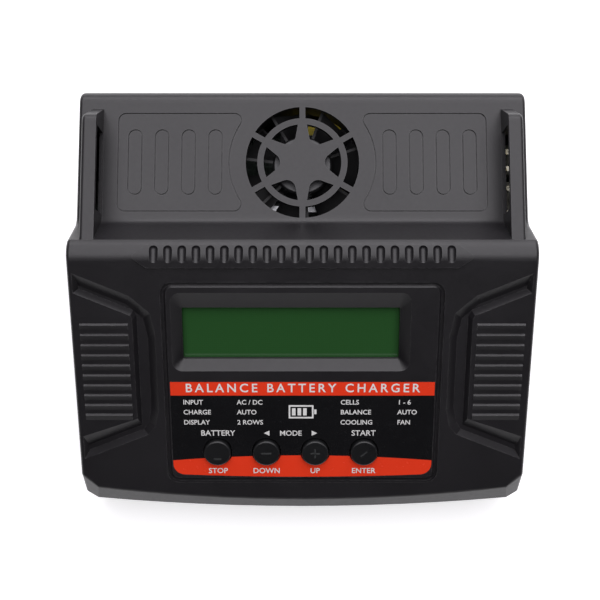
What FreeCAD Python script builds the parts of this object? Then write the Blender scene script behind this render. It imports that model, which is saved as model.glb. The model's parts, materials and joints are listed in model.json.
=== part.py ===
import FreeCAD, Part
import math
import os

import Sketcher

# Balance battery charger: two plastic shells round a mains power board, a charging board,
# a sloping control panel with a character display and four keys, and a top-mounted fan.
# Frame: X to the right, +Y to the back, +Z up, origin under the middle of the case.
# All sizes are millimetres.

DIMENSIONS = {
    "case_width": (138, "outer width of both shells"),
    "case_depth": (129, "outer depth of both shells"),
    "foot_height": (1.5, "rubber foot standing out of the floor"),
    "seam_height": (20, "height of the joint between the two shells"),
    "wall": (2, "side, front and back wall thickness"),
    "rear_radius": (3, "upright rear corner radius"),
    "front_rise": (2.8, "how far the front bows out at its middle"),
    "corner_chamfer_x": (4, "front corner chamfer along X"),
    "corner_chamfer_y": (2.3, "front corner chamfer along Y"),
    "bevel_height": (22, "height where the front bevel starts"),
    "bevel_angle": (31, "front bevel from upright, degrees"),
    "bevel_round": (1.6, "round between the panel and the front bevel"),
    "deck_height": (46.5, "rear deck above the table"),
    "deck_wall": (1.8, "rear deck thickness"),
    "deck_back_radius": (4.5, "round from the deck to the back wall"),
    "step_base_y": (22.7, "foot of the step between deck and console"),
    "step_top_y": (15.2, "top of that step"),
    "step_height": (58.5, "top of that step above the table"),
    "rail_height": (58.4, "top of the side rails"),
    "step_radius": (4, "round at the foot of the step"),
    "ridge_y": (11.7, "where the step's crown and the panel meet"),
    "ridge_height": (60.7, "their meeting height before rounding"),
    "ridge_radius": (6, "round over the ridge"),
    "panel_slope": (25, "control panel from level, degrees"),
    "edge_radius": (1.2, "round along the console's side edges"),
    "rail_inner_x": (61.2, "inner face of a side rail"),
    "rail_width": (4.4, "side rail width"),
    "rail_base_y": (58.1, "rear foot of a side rail"),
    "rail_top_y": (52.9, "rear end of a side rail's top"),
    "rail_end_radius": (3, "round over the rail's rear end"),
    "rail_skin": (1.0, "wall of a hollow rail"),
    "vent_front_y": (24.8, "front end of the rail's air slot"),
    "vent_back_y": (50.3, "back end of the rail's air slot"),
    "vent_low": (47.4, "bottom of the rail's air slot"),
    "vent_high": (56.5, "top of the rail's air slot"),
    "fan_y": (41.4, "fan axis"),
    "fan_size": (40, "square fan frame"),
    "fan_thickness": (10, "fan frame thickness"),
    "fan_top": (43.2, "top of the fan frame"),
    "fan_pitch": (32, "fan screw spacing"),
    "grille_radius": (17.4, "fan opening"),
    "ring_outer": (13.85, "grille ring outer radius"),
    "ring_inner": (11.95, "grille ring inner radius"),
    "spoke_width": (1.8, "grille spoke width"),
    "petal_tip": (6.87, "inner window's rounded tip from the fan axis"),
    "petal_radius": (2.76, "inner window's tip radius"),
    "petal_half_angle": (23.3, "inner window's outer corners, degrees"),
    "line_depth": (0.5, "decorative lines cut in the deck"),
    "line_width": (0.4, "width of those lines"),
    "inlay_outer_x": (56.7, "outer edge of a framed deck field"),
    "inlay_half_length": (15.5, "half length of a framed field along Y"),
    "inlay_waist": (22.3, "arc of a framed field round the fan axis"),
    "inlay_corner": (2.4, "corners of a framed field"),
    "bar_pitch": (8.2, "bars outlined in a framed field"),
    "bar_first_x": (26.7, "innermost bar"),
    "bar_length": (20.6, "bar length"),
    "bar_width": (4.5, "bar width"),
    "strip_half_length": (50.2, "half length of the ridge strip, tip to tip"),
    "strip_full_x": (45.5, "where the strip's pointed ends start"),
    "strip_front_y": (6.7, "front edge of the ridge strip"),
    "strip_back_y": (13.5, "back edge of the ridge strip"),
    "strip_tip_y": (9.8, "tips of the ridge strip"),
    "strip_height": (0.7, "how far the ridge strip stands out"),
    "dimple_pitch": (4.12, "dimples along the ridge strip"),
    "dimple_count": (22, "dimples in the ridge strip"),
    "dimple_radius": (1.35, "radius of the round-ended dimples"),
    "dimple_front_y": (7.5, "front end of the dimples"),
    "dimple_back_y": (13.4, "back end of the dimples"),
    "panel_half_width": (41.0, "raised middle of the control panel"),
    "panel_back": (10.7, "its back edge, down the slope from the ridge"),
    "panel_front": (74.4, "its front edge, down the slope"),
    "panel_corner": (2.6, "its corner radius"),
    "groove_width": (0.9, "groove round the raised middle"),
    "groove_depth": (1.0, "groove depth"),
    "groove_chamfer": (0.65, "eased edge inside the groove"),
    "display_x": (-3.45, "middle of the display window"),
    "window_width": (65.2, "display window"),
    "window_back": (18.4, "window's back edge, down the slope"),
    "window_front": (34.8, "window's front edge, down the slope"),
    "funnel_width": (71.4, "outer width of the window's bevelled frame"),
    "funnel_back": (12.9, "back edge of the bevelled frame"),
    "funnel_front": (37.9, "front edge of the bevelled frame"),
    "funnel_depth": (2.6, "depth of the window below the panel"),
    "display_wall": (4.1, "underside of the wall round the window"),
    "display_depth": (4.15, "top of the display's metal frame"),
    "display_back": (11.2, "top of the display's board"),
    "control_depth": (14.5, "top of the key board below the panel"),
    "board_thickness": (1.6, "circuit board thickness"),
    "label_back": (41.4, "back edge of the label"),
    "label_front": (73.4, "front edge of the label"),
    "label_half_width": (40.1, "half width of the label"),
    "label_thickness": (0.2, "label thickness"),
    "label_corner": (3.6, "label's front corner radius"),
    "label_bow": (0.8, "how far the label's front edge bows"),
    "key_row": (64.7, "key axes, down the slope"),
    "key_pitch": (15.08, "key spacing"),
    "key_row_x": (-3.6, "middle of the key row"),
    "key_diameter": (8.3, "key cap"),
    "key_hole": (9.1, "hole for a key"),
    "key_rise": (1.5, "key face above the panel"),
    "grip_depth": (2.0, "moat round a ribbed grip"),
    "rib_pitch": (3.25, "grip ribs"),
    "rib_count": (10, "grip ribs on a side"),
    "rib_first": (23.0, "first rib, down the slope"),
    "rib_height": (0.55, "rib height"),
    "rib_length": (14.3, "rib length"),
    "floor": (2, "bottom shell floor thickness"),
    "screw_x": (58, "case screws from the middle"),
    "screw_rear_y": (55, "rear case screws"),
    "screw_front_y": (-46, "front case screws"),
    "screw_diameter": (2.9, "case screw"),
    "board_height": (7.5, "underside of the lower boards"),
    "small_screw": (2.2, "board and fan screw"),
    "foot_diameter": (11, "rubber foot"),
    "inlet_y": (30, "mains inlet"),
    "inlet_z": (21, "mains inlet"),
    "inlet_width": (16.6, "mains inlet body"),
    "inlet_height": (10.2, "mains inlet body"),
    "jack_y": (2, "low voltage jack"),
    "jack_z": (16, "low voltage jack"),
    "output_pitch": (19, "output sockets"),
    "output_y": (-28, "front output socket"),
    "output_z": (16, "output sockets"),
    "output_diameter": (10.4, "output socket body"),
    "output_bore": (4.0, "output socket contact bore"),
    "pin_pitch": (2.5, "balance socket pins"),
    "balance_depth": (5.8, "balance socket height over its latch"),
    "balance_row_low": (13, "lower row of balance sockets"),
    "balance_row_high": (25.5, "upper row of balance sockets"),
}

doc = FreeCAD.newDocument("balance_charger")
sheet = doc.addObject("Spreadsheet::Sheet", "dims")
for row, (alias, (number, meaning)) in enumerate(DIMENSIONS.items(), start=1):
    sheet.set(f"A{row}", meaning)
    sheet.set(f"B{row}", str(number))
    sheet.setAlias(f"B{row}", alias)
doc.recompute()

Vector = FreeCAD.Vector
Rotation = FreeCAD.Rotation
Placement = FreeCAD.Placement


# ---------------------------------------------------------------- numbers tied to the sheet

class Dim:
    """A length together with the spreadsheet expression that gives it."""

    def __init__(self, number, text):
        self.number = float(number)
        self.text = text

    def joined(self, sign, other, number):
        return Dim(number, f"({self.text} {sign} {text_of(other)})")

    def __add__(self, other):
        return self.joined("+", other, self.number + number_of(other))

    def __sub__(self, other):
        return self.joined("-", other, self.number - number_of(other))

    def __mul__(self, other):
        return self.joined("*", other, self.number * number_of(other))

    def __truediv__(self, other):
        return self.joined("/", other, self.number / number_of(other))

    def __radd__(self, other):
        return Dim(other, f"({other})") + self

    def __rsub__(self, other):
        return Dim(other, f"({other})") - self

    def __rmul__(self, other):
        return self * other

    def __neg__(self):
        return self * -1

    def __float__(self):
        return self.number


def number_of(value):
    return float(value)


def text_of(value):
    return value.text if isinstance(value, Dim) else f"({float(value)})"


def bind(thing, name, value):
    """Set a property or constraint, tied to the sheet where the value comes from it."""
    if isinstance(value, Dim):
        thing.setExpression(name, value.text)
    elif "." not in name and "[" not in name:
        setattr(thing, name, float(value))


D = {alias: Dim(number, f"dims.{alias}") for alias, (number, meaning) in DIMENSIONS.items()}

HALF_WIDTH = D["case_width"] / 2
HALF_DEPTH = D["case_depth"] / 2
SLOPE = math.radians(float(D["panel_slope"]))
SLOPE_COS = Dim(math.cos(SLOPE), "cos(dims.panel_slope * 1deg)")
SLOPE_TAN = Dim(math.tan(SLOPE), "tan(dims.panel_slope * 1deg)")
SIDES = {"left": -1, "right": 1}
BEYOND = 30  # how far cutting outlines run past the case

# The panel frame: x along the case, y up the slope, z out of the panel, origin on the ridge.
PANEL = Placement(
    Vector(0, float(D["ridge_y"]), float(D["ridge_height"])),
    Rotation(Vector(1, 0, 0), float(D["panel_slope"])),
)


def panel_offset(depth=0.0):
    """The panel plane, or one parallel to it that lies this deep below it."""
    return PANEL * Placement(Vector(0, 0, -float(depth)), Rotation())


# ---------------------------------------------------------------- sketches and features

def make_body(label, placement=None):
    body = doc.addObject("PartDesign::Body", label)
    body.Label = label
    if placement is not None:
        body.Placement = placement
    return body


def new_sketch(body, role, offset=None):
    sketch = body.newObject("Sketcher::SketchObject", f"{body.Name}_sketch")
    plane = next(item for item in body.Origin.OriginFeatures if item.Role == role)
    sketch.AttachmentSupport = [(plane, "")]
    sketch.MapMode = "FlatFace"
    if offset is not None:
        sketch.AttachmentOffset = offset
    return sketch


def level(height):
    """Offset of a sketch plane along its own normal."""
    return Placement(Vector(0, 0, float(height)), Rotation())


def arc(start, middle, end):
    """An arc through three points, always running counter-clockwise."""
    turn = (middle - start).cross(end - middle).z
    return Part.Arc(start, middle, end) if turn > 0 else Part.Arc(end, middle, start)


def polygon(sketch, corners):
    """A closed outline of straight lines, every corner tied to the sheet."""
    count = len(corners)
    points = [Vector(float(x), float(y), 0) for x, y in corners]
    lines = [Part.LineSegment(points[i], points[(i + 1) % count]) for i in range(count)]
    ids = sketch.addGeometry(lines, False)
    joints = [
        Sketcher.Constraint("Coincident", ids[i], 2, ids[(i + 1) % count], 1)
        for i in range(count)
    ]
    sketch.addConstraint(joints)
    for line, (x, y) in zip(ids, corners):
        for kind, place in (("DistanceX", x), ("DistanceY", y)):
            index = sketch.addConstraint(Sketcher.Constraint(kind, line, 1, float(place)))
            bind(sketch, f"Constraints[{index}]", place)


def rectangle(sketch, x_low, y_low, x_high, y_high):
    polygon(sketch, [(x_low, y_low), (x_high, y_low), (x_high, y_high), (x_low, y_high)])


def circle(sketch, x, y, diameter):
    """A circle whose middle and diameter are tied to the sheet."""
    shape = Part.Circle(Vector(float(x), float(y), 0), Vector(0, 0, 1), float(diameter) / 2)
    line = sketch.addGeometry(shape, False)
    limits = (
        (Sketcher.Constraint("DistanceX", line, 3, float(x)), x),
        (Sketcher.Constraint("DistanceY", line, 3, float(y)), y),
        (Sketcher.Constraint("Diameter", line, float(diameter)), diameter),
    )
    for constraint, place in limits:
        index = sketch.addConstraint(constraint)
        bind(sketch, f"Constraints[{index}]", place)


def rounded(corners):
    """Line and arc segments of a closed outline whose corners are (x, y, radius)."""
    count = len(corners)
    entries = []
    for i, (x, y, radius) in enumerate(corners):
        here = Vector(float(x), float(y), 0)
        before = Vector(float(corners[i - 1][0]), float(corners[i - 1][1]), 0)
        after = Vector(float(corners[(i + 1) % count][0]), float(corners[(i + 1) % count][1]), 0)
        inward = (before - here).normalize()
        onward = (after - here).normalize()
        size = float(radius)
        if size <= 0:
            entries.append((here, here, here))
            continue
        half = inward.getAngle(onward) / 2
        back_off = size / math.tan(half)
        middle = here + (inward + onward).normalize() * (size / math.sin(half) - size)
        entries.append((here + inward * back_off, middle, here + onward * back_off))
    segments = []
    for i, (start, middle, end) in enumerate(entries):
        if (end - start).Length > 1e-9:
            segments.append(arc(start, middle, end))
        next_start = entries[(i + 1) % count][0]
        if (next_start - end).Length > 1e-9:
            segments.append(Part.LineSegment(end, next_start))
    return segments


def slot(x, y, width, length, along_y=True):
    """Segments of a round-ended slot; length is end to end."""
    radius = float(width) / 2
    reach = float(length) / 2 - radius
    centre = Vector(float(x), float(y), 0)
    run = Vector(0, reach, 0) if along_y else Vector(reach, 0, 0)
    side = Vector(radius, 0, 0) if along_y else Vector(0, radius, 0)
    tip = run.normalize() * radius
    run = Vector(0, reach, 0) if along_y else Vector(reach, 0, 0)
    return [
        Part.LineSegment(centre - run + side, centre + run + side),
        arc(centre + run + side, centre + run + tip, centre + run - side),
        Part.LineSegment(centre + run - side, centre - run - side),
        arc(centre - run - side, centre - run - tip, centre - run + side),
    ]


def checked(feature):
    """Recompute and refuse a feature that failed."""
    doc.recompute()
    if any(word in feature.State for word in ("Invalid", "Error")) or feature.Shape.isNull():
        raise RuntimeError(f"{feature.Name} failed: {feature.State}")
    return feature


def pad(body, sketch, length, side="One side", reverse=False, taper=0.0):
    feature = body.newObject("PartDesign::Pad", f"{body.Name}_pad")
    feature.Profile = sketch
    feature.SideType = side
    feature.Reversed = reverse
    feature.TaperAngle = taper
    bind(feature, "Length", length)
    return checked(feature)


def pocket(body, sketch, length, side="One side", reverse=False, taper=0.0):
    """Cut along the sketch's normal, downwards unless reversed; it has to remove something."""
    before = body.Shape.Volume
    feature = body.newObject("PartDesign::Pocket", f"{body.Name}_pocket")
    feature.Profile = sketch
    feature.SideType = side
    feature.Reversed = reverse
    feature.TaperAngle = taper
    bind(feature, "Length", length)
    checked(feature)
    if body.Shape.Volume > before - 1e-6:
        raise RuntimeError(f"{body.Label}: {feature.Name} removed nothing")
    return feature


def edges_at(shape, points):
    """Names of the edges that pass through the given points."""
    names = []
    for x, y, z in points:
        probe = Part.Vertex(float(x), float(y), float(z))
        found = [
            f"Edge{i}" for i, edge in enumerate(shape.Edges, start=1)
            if edge.distToShape(probe)[0] < 0.02
        ]
        if not found:
            raise RuntimeError(f"no edge at {float(x):.2f}, {float(y):.2f}, {float(z):.2f}")
        names += [name for name in found if name not in names]
    return names


def dress(body, kind, size, points):
    """A Fillet or Chamfer of the given size on the edges at the given points."""
    base = body.Tip
    feature = body.newObject(f"PartDesign::{kind}", f"{body.Name}_{kind.lower()}")
    feature.Base = (base, edges_at(base.Shape, points))
    bind(feature, "Radius" if kind == "Fillet" else "Size", size)
    return checked(feature)


# ---------------------------------------------------------------- plain solids

def box(label, low, high, placement=None):
    """A Part::Box between two corners, sizes tied to the sheet."""
    solid = doc.addObject("Part::Box", label)
    solid.Label = label
    for name, start, end in zip(("Length", "Width", "Height"), low, high):
        gap = end - start
        bind(solid, name, gap)
    local = Placement(Vector(*(float(value) for value in low)), Rotation())
    solid.Placement = placement * local if placement is not None else local
    return solid


def cylinder(label, diameter, start, height, direction=(0, 0, 1), placement=None):
    """A Part::Cylinder from a start point along a direction."""
    solid = doc.addObject("Part::Cylinder", label)
    solid.Label = label
    bind(solid, "Radius", diameter / 2)
    bind(solid, "Height", height)
    turn = Rotation(Vector(0, 0, 1), Vector(*direction))
    local = Placement(Vector(*(float(value) for value in start)), turn)
    solid.Placement = placement * local if placement is not None else local
    return solid


def joined(label, solids):
    result = doc.addObject("Part::MultiFuse", label)
    result.Label = label
    result.Shapes = solids
    return result


def cut_from(label, base, tool):
    """One solid with another taken away."""
    result = doc.addObject("Part::Cut", label)
    result.Label = label
    result.Base = base
    result.Tool = tool
    return result


def group(label, solids):
    """Identical pieces kept apart in one node."""
    result = doc.addObject("Part::Compound", label)
    result.Label = label
    result.Links = solids
    return result


# ---------------------------------------------------------------- case outline

CORNER_Y = -(HALF_DEPTH - D["front_rise"] - D["corner_chamfer_y"])
CORNER_X = HALF_WIDTH - D["corner_chamfer_x"]
BOW_END_Y = -(HALF_DEPTH - D["front_rise"])


def bow(inset=0.0):
    """The gently bowed front edge, from left to right."""
    gap = float(inset)
    end_x = float(CORNER_X) - gap * 0.3
    return Part.Arc(
        Vector(-end_x, float(BOW_END_Y) + gap, 0),
        Vector(0, -float(HALF_DEPTH) + gap, 0),
        Vector(end_x, float(BOW_END_Y) + gap, 0),
    )


def case_outline(inset=0.0, rear_radius=0.0):
    """Segments of the case's outline in plan, drawn in by an inset."""
    gap = float(inset)
    side = float(HALF_WIDTH) - gap
    back = float(HALF_DEPTH) - gap
    front = bow(gap)
    shoulder = Vector(side, float(CORNER_Y) + gap * 0.3, 0)
    radius = float(rear_radius)
    lean = radius * (1 - math.sqrt(0.5))
    left = Vector(-shoulder.x, shoulder.y, 0)
    points = [
        Vector(side, back - radius, 0), Vector(side - lean, back - lean, 0),
        Vector(side - radius, back, 0),
    ]
    facing = [Vector(-point.x, point.y, 0) for point in points]
    return [
        front,
        Part.LineSegment(front.EndPoint, shoulder),
        Part.LineSegment(shoulder, points[0]),
        arc(*points),
        Part.LineSegment(points[2], facing[2]),
        arc(facing[2], facing[1], facing[0]),
        Part.LineSegment(facing[0], left),
        Part.LineSegment(left, front.StartPoint),
    ]


def front_waste():
    """Segments round everything in front of the bowed front and its corner chamfers."""
    front = bow()
    run_out = float(BEYOND)
    rise = run_out * float(D["corner_chamfer_y"]) / float(D["corner_chamfer_x"])
    right = front.EndPoint + Vector(run_out, rise, 0)
    left = Vector(-right.x, right.y, 0)
    far = -float(HALF_DEPTH) - run_out
    corners = [front.EndPoint, right, Vector(right.x, far, 0), Vector(left.x, far, 0),
               left, front.StartPoint]
    return [front] + [Part.LineSegment(a, b) for a, b in zip(corners, corners[1:])]


# Port openings through the side walls: (side, y, z, width along Y, height).
BALANCE_CELLS = {"2s": 3, "3s": 4, "4s": 5, "5s": 6, "6s": 7}
BALANCE_GAP = 2.2


def balance_length(pins):
    return D["pin_pitch"] * (pins - 1) + 4.9


def balance_places():
    """Middle of each balance socket: name -> (y, z)."""
    places = {}
    rows = ((("6s", "5s"), D["balance_row_low"]), (("4s", "3s", "2s"), D["balance_row_high"]))
    for names, height in rows:
        y = 10.0
        for name in names:
            length = float(balance_length(BALANCE_CELLS[name]))
            places[name] = (y + length / 2, height)
            y += length + BALANCE_GAP
    return places


PLACES = balance_places()
OUTPUTS = {"black": D["output_y"], "red": D["output_y"] + D["output_pitch"]}
CLEAR = 0.3  # gap between a port and the wall round it


def port_openings(side):
    """Rectangles (y_low, z_low, y_high, z_high) and circles (y, z, diameter) in a side wall."""
    if side == "left":
        half_y = D["inlet_width"] / 2 + CLEAR
        half_z = D["inlet_height"] / 2 + CLEAR
        inlet = (D["inlet_y"] - half_y, D["inlet_z"] - half_z,
                 D["inlet_y"] + half_y, D["inlet_z"] + half_z)
        return [inlet], [(D["jack_y"], D["jack_z"], 9.6)]
    rectangles = []
    for name, (y, z) in PLACES.items():
        half_y = balance_length(BALANCE_CELLS[name]) / 2 + CLEAR
        half_z = D["balance_depth"] / 2 + CLEAR
        rectangles.append((y - half_y, z - half_z, y + half_y, z + half_z))
    width = D["output_diameter"] + 2 * CLEAR
    return rectangles, [(y, D["output_z"], width) for y in OUTPUTS.values()]


def cut_ports(body, low, high):
    """Cut the port openings that pass between two heights of this shell."""
    for side, sign in SIDES.items():
        rectangles, circles = port_openings(side)
        for y_low, z_low, y_high, z_high in rectangles:
            if float(z_high) > low and float(z_low) < high:
                sketch = new_sketch(body, "YZ_Plane", level(sign * float(HALF_WIDTH)))
                rectangle(sketch, y_low, z_low, y_high, z_high)
                pocket(body, sketch, D["wall"] + 1, reverse=sign < 0)
        for y, z, diameter in circles:
            if float(z) + float(diameter) / 2 > low and float(z) - float(diameter) / 2 < high:
                sketch = new_sketch(body, "YZ_Plane", level(sign * float(HALF_WIDTH)))
                circle(sketch, y, z, diameter)
                pocket(body, sketch, D["wall"] + 1, reverse=sign < 0)


CASE_SCREWS = [
    (sign * float(D["screw_x"]), float(y))
    for y in (D["screw_rear_y"], D["screw_front_y"]) for sign in (-1, 1)
]


# ---------------------------------------------------------------- top cover

def panel_height(y):
    """Height of the control panel's plane at a depth."""
    return D["ridge_height"] + (y - D["ridge_y"]) * SLOPE_TAN


def cover_profile(sketch):
    """Side view of the cover: back wall, deck, step, ridge and sloping panel."""
    past_front = -(HALF_DEPTH + BEYOND / 3)
    seam = D["seam_height"]
    crown = D["step_height"]
    polygon(sketch, [
        (HALF_DEPTH, seam),
        (HALF_DEPTH, D["deck_height"]),
        (D["step_base_y"], D["deck_height"]),
        (D["step_top_y"], crown),
        (D["ridge_y"], D["ridge_height"]),
        (past_front, panel_height(past_front)),
        (past_front, seam),
    ])


def cavity_profile(sketch):
    """Side view of the space inside the cover."""
    wall = D["wall"]
    below = wall / SLOPE_COS
    ceiling = D["step_height"] - 0.7
    under_deck = D["deck_height"] - D["deck_wall"]
    front = -(HALF_DEPTH - D["front_rise"] - wall - 0.5)
    knee = front + 2.9
    polygon(sketch, [
        (HALF_DEPTH - wall, D["seam_height"] - 1),
        (HALF_DEPTH - wall, under_deck),
        (D["step_base_y"] - 1.2, under_deck),
        (D["step_top_y"] - 2, ceiling),
        (D["ridge_y"] + (ceiling + below - D["ridge_height"]) / SLOPE_TAN, ceiling),
        (knee, panel_height(knee) - below),
        (front, D["bevel_height"]),
        (front, D["seam_height"] - 1),
    ])


def rail_body(side, sign):
    """A raised hollow rail beside the deck, with an air slot in its inner wall."""
    body = make_body(f"{side}_rail")
    low, high = D["deck_height"] - 0.6, D["rail_height"]
    inside = 1.0
    sketch = new_sketch(body, "YZ_Plane", level(sign * float(D["rail_inner_x"])))
    polygon(sketch, [
        (D["step_base_y"] - inside, low), (D["rail_base_y"], low),
        (D["rail_base_y"], D["deck_height"]), (D["rail_top_y"], high),
        (D["step_top_y"] - inside, high),
    ])
    pad(body, sketch, D["rail_width"], reverse=sign < 0)
    middle = D["rail_inner_x"] + D["rail_width"] / 2
    outer = D["rail_inner_x"] + D["rail_width"]
    dress(body, "Fillet", D["rail_end_radius"], [(sign * middle, D["rail_top_y"], high)])
    dress(body, "Fillet", D["edge_radius"], [(sign * outer, D["step_base_y"] + 8, high)])
    sketch = new_sketch(body, "XY_Plane", level(low))
    duct(sketch, sign)
    pocket(body, sketch, high - low - D["rail_skin"], reverse=True)
    sketch = new_sketch(body, "YZ_Plane", level(sign * (float(D["rail_inner_x"]) - 0.2)))
    rectangle(sketch, D["vent_front_y"], D["vent_low"], D["vent_back_y"], D["vent_high"])
    pocket(body, sketch, D["rail_skin"] + 1, reverse=sign > 0)
    return body


def duct(sketch, sign):
    """Plan of the air duct inside a rail."""
    near = D["rail_inner_x"] + D["rail_skin"]
    far = D["rail_inner_x"] + D["rail_width"] - D["rail_skin"]
    x_low, x_high = (near, far) if sign > 0 else (-far, -near)
    rectangle(sketch, x_low, D["vent_front_y"], x_high, D["vent_back_y"])


def trim_front(body):
    """Bow the front, chamfer its corners and lean it back above the bevel's foot."""
    for upwards, taper in ((False, 0.0), (True, float(D["bevel_angle"]))):
        sketch = new_sketch(body, "XY_Plane", level(D["bevel_height"]))
        sketch.addGeometry(front_waste(), False)
        pocket(body, sketch, D["ridge_height"], reverse=upwards, taper=taper)


def hollow_cover(body):
    """Take out the inside and open the deck under the rails' air ducts."""
    sketch = new_sketch(body, "YZ_Plane")
    cavity_profile(sketch)
    pocket(body, sketch, D["case_width"] - 2 * D["wall"], side="Symmetric")
    for sign in SIDES.values():
        sketch = new_sketch(body, "XY_Plane", level(D["deck_height"]))
        duct(sketch, sign)
        pocket(body, sketch, D["deck_wall"] + 1)


def inlay_outline(sign, inset=0.0):
    """Segments of a deck field's frame line: straight sides, waisted towards the fan."""
    centre_y = float(D["fan_y"])
    half = float(D["inlay_half_length"]) - inset
    waist = float(D["inlay_waist"]) + inset
    outer = float(D["inlay_outer_x"]) - inset
    corner = float(D["inlay_corner"]) - inset
    reach = half - corner
    hub = math.sqrt((waist + corner) ** 2 - reach ** 2)
    touch_x = hub * waist / (waist + corner)
    touch_y = reach * waist / (waist + corner)
    lean = corner * (1 - math.sqrt(0.5))
    towards_fan = Vector(-hub, -reach, 0).normalize()
    middle = Vector(hub, reach, 0) + (towards_fan + Vector(0, 1, 0)).normalize() * corner

    def at(x, y):
        return Vector(sign * x, centre_y + y, 0)

    segments = [
        arc(at(touch_x, -touch_y), at(waist, 0), at(touch_x, touch_y)),
        Part.LineSegment(at(outer, half - corner), at(outer, corner - half)),
    ]
    for way in (-1, 1):
        segments += [
            arc(at(touch_x, way * touch_y), at(middle.x, way * middle.y), at(hub, way * half)),
            Part.LineSegment(at(hub, way * half), at(outer - corner, way * half)),
            arc(at(outer - corner, way * half), at(outer - lean, way * (half - lean)),
                at(outer, way * (half - corner))),
        ]
    return segments


def add_inlays(body):
    """Thin lines in the deck: two framed fields with four round-ended bars in each."""
    gap = float(D["line_width"])
    sketch = new_sketch(body, "XY_Plane", level(D["deck_height"]))
    for sign in SIDES.values():
        sketch.addGeometry(inlay_outline(sign), False)
        sketch.addGeometry(inlay_outline(sign, gap), False)
    pocket(body, sketch, D["line_depth"])
    sketch = new_sketch(body, "XY_Plane", level(D["deck_height"]))
    for sign in SIDES.values():
        for i in range(4):
            x = sign * (D["bar_first_x"] + i * D["bar_pitch"])
            sketch.addGeometry(slot(x, D["fan_y"], D["bar_width"], D["bar_length"]), False)
            sketch.addGeometry(slot(x, D["fan_y"], D["bar_width"] - 2 * gap,
                                    D["bar_length"] - 2 * gap), False)
    pocket(body, sketch, D["line_depth"])


def polar(radius, degrees):
    angle = math.radians(float(degrees))
    return Vector(float(radius) * math.cos(angle), float(radius) * math.sin(angle), 0)


def grille_windows():
    """Segments of one sixth of the grille: an arched slot and a petal-shaped window."""
    opening, ring_out, ring_in = (float(D[name]) for name in
                                  ("grille_radius", "ring_outer", "ring_inner"))
    half_spoke = float(D["spoke_width"]) / 2

    def edge_angle(radius):
        return 30 - math.degrees(math.asin(half_spoke / radius))

    outer_half, inner_half = edge_angle(opening), edge_angle(ring_out)
    arch = [
        arc(polar(opening, -outer_half), polar(opening, 0), polar(opening, outer_half)),
        Part.LineSegment(polar(opening, outer_half), polar(ring_out, inner_half)),
        arc(polar(ring_out, inner_half), polar(ring_out, 0), polar(ring_out, -inner_half)),
        Part.LineSegment(polar(ring_out, -inner_half), polar(opening, -outer_half)),
    ]
    tip, radius = float(D["petal_tip"]), float(D["petal_radius"])
    centre = Vector(tip + radius, 0, 0)
    corner = polar(ring_in, D["petal_half_angle"])
    reach = corner - centre
    swing = math.atan2(reach.y, reach.x) + math.acos(radius / reach.Length)
    touch = centre + Vector(radius * math.cos(swing), radius * math.sin(swing), 0)
    low_touch, low_corner = Vector(touch.x, -touch.y, 0), Vector(corner.x, -corner.y, 0)
    petal = [
        arc(low_corner, polar(ring_in, 0), corner),
        Part.LineSegment(corner, touch),
        arc(touch, Vector(tip, 0, 0), low_touch),
        Part.LineSegment(low_touch, low_corner),
    ]
    return arch + petal


def add_grille(body):
    """Six arched slots and six petals round the fan axis, and the fan's screw posts."""
    above = float(D["deck_height"] + D["step_radius"] / 2)
    offset = Placement(Vector(0, float(D["fan_y"]), above), Rotation())
    sketch = new_sketch(body, "XY_Plane", offset)
    sketch.addGeometry(grille_windows(), False)
    window = pocket(body, sketch, D["deck_wall"] + D["step_radius"] / 2 + 0.5)
    pattern = body.newObject("PartDesign::PolarPattern", "grille_pattern")
    pattern.Originals = [window]
    pattern.Axis = (sketch, ["N_Axis"])
    pattern.Angle = 360
    pattern.Occurrences = 6
    body.Tip = pattern
    doc.recompute()
    under_deck = D["deck_height"] - D["deck_wall"]
    half = D["fan_pitch"] / 2
    for dx in (-half, half):
        for dy in (-half, half):
            post(body, dx, D["fan_y"] + dy, D["fan_top"], under_deck + 0.4,
                 5, D["small_screw"] + 0.1, 2.5)


def post(body, x, y, low, high, diameter, hole, hole_depth):
    """An upright post with a blind pilot hole from below."""
    sketch = new_sketch(body, "XY_Plane", level(low))
    circle(sketch, x, y, diameter)
    pad(body, sketch, high - low)
    sketch = new_sketch(body, "XY_Plane", level(low))
    circle(sketch, x, y, hole)
    pocket(body, sketch, hole_depth, reverse=True)


def add_case_posts(body):
    """Four screw posts hanging from the deck and the panel."""
    low = D["floor"] + D["foot_height"] + 4.6
    for x, y in CASE_SCREWS:
        inside = float(D["deck_height"] - D["deck_wall"])
        if y < 0:
            inside = float(panel_height(y - 3.5)) - float(D["wall"] / SLOPE_COS)
        post(body, x, y, low, inside + 1.2, 7, D["screw_diameter"] + 0.1, 12)


def panel_rectangle(sketch, half_width, back, front, radius, middle=0.0):
    """A rounded rectangle on the panel between two distances down the slope."""
    x_low, x_high = float(middle) - float(half_width), float(middle) + float(half_width)
    y_high, y_low = -float(back), -float(front)
    sketch.addGeometry(rounded([
        (x_low, y_low, radius), (x_high, y_low, radius),
        (x_high, y_high, radius), (x_low, y_high, radius),
    ]), False)


def add_panel_field(body):
    """The groove round the panel's middle, its eased inner edge and the sunk label bed."""
    sketch = new_sketch(body, "XY_Plane", panel_offset())
    outer = D["groove_width"]
    panel_rectangle(sketch, D["panel_half_width"] + outer, D["panel_back"] - outer,
                    D["panel_front"] + outer, D["panel_corner"] + outer)
    panel_rectangle(sketch, D["panel_half_width"], D["panel_back"], D["panel_front"],
                    D["panel_corner"])
    pocket(body, sketch, D["groove_depth"])
    inner_edge = PANEL.multVec(Vector(0, -float(D["panel_back"]), 0))
    dress(body, "Chamfer", D["groove_chamfer"], [tuple(inner_edge)])
    sketch = new_sketch(body, "XY_Plane", panel_offset())
    label_outline(sketch, 0.1)
    pocket(body, sketch, D["label_thickness"])


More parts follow.
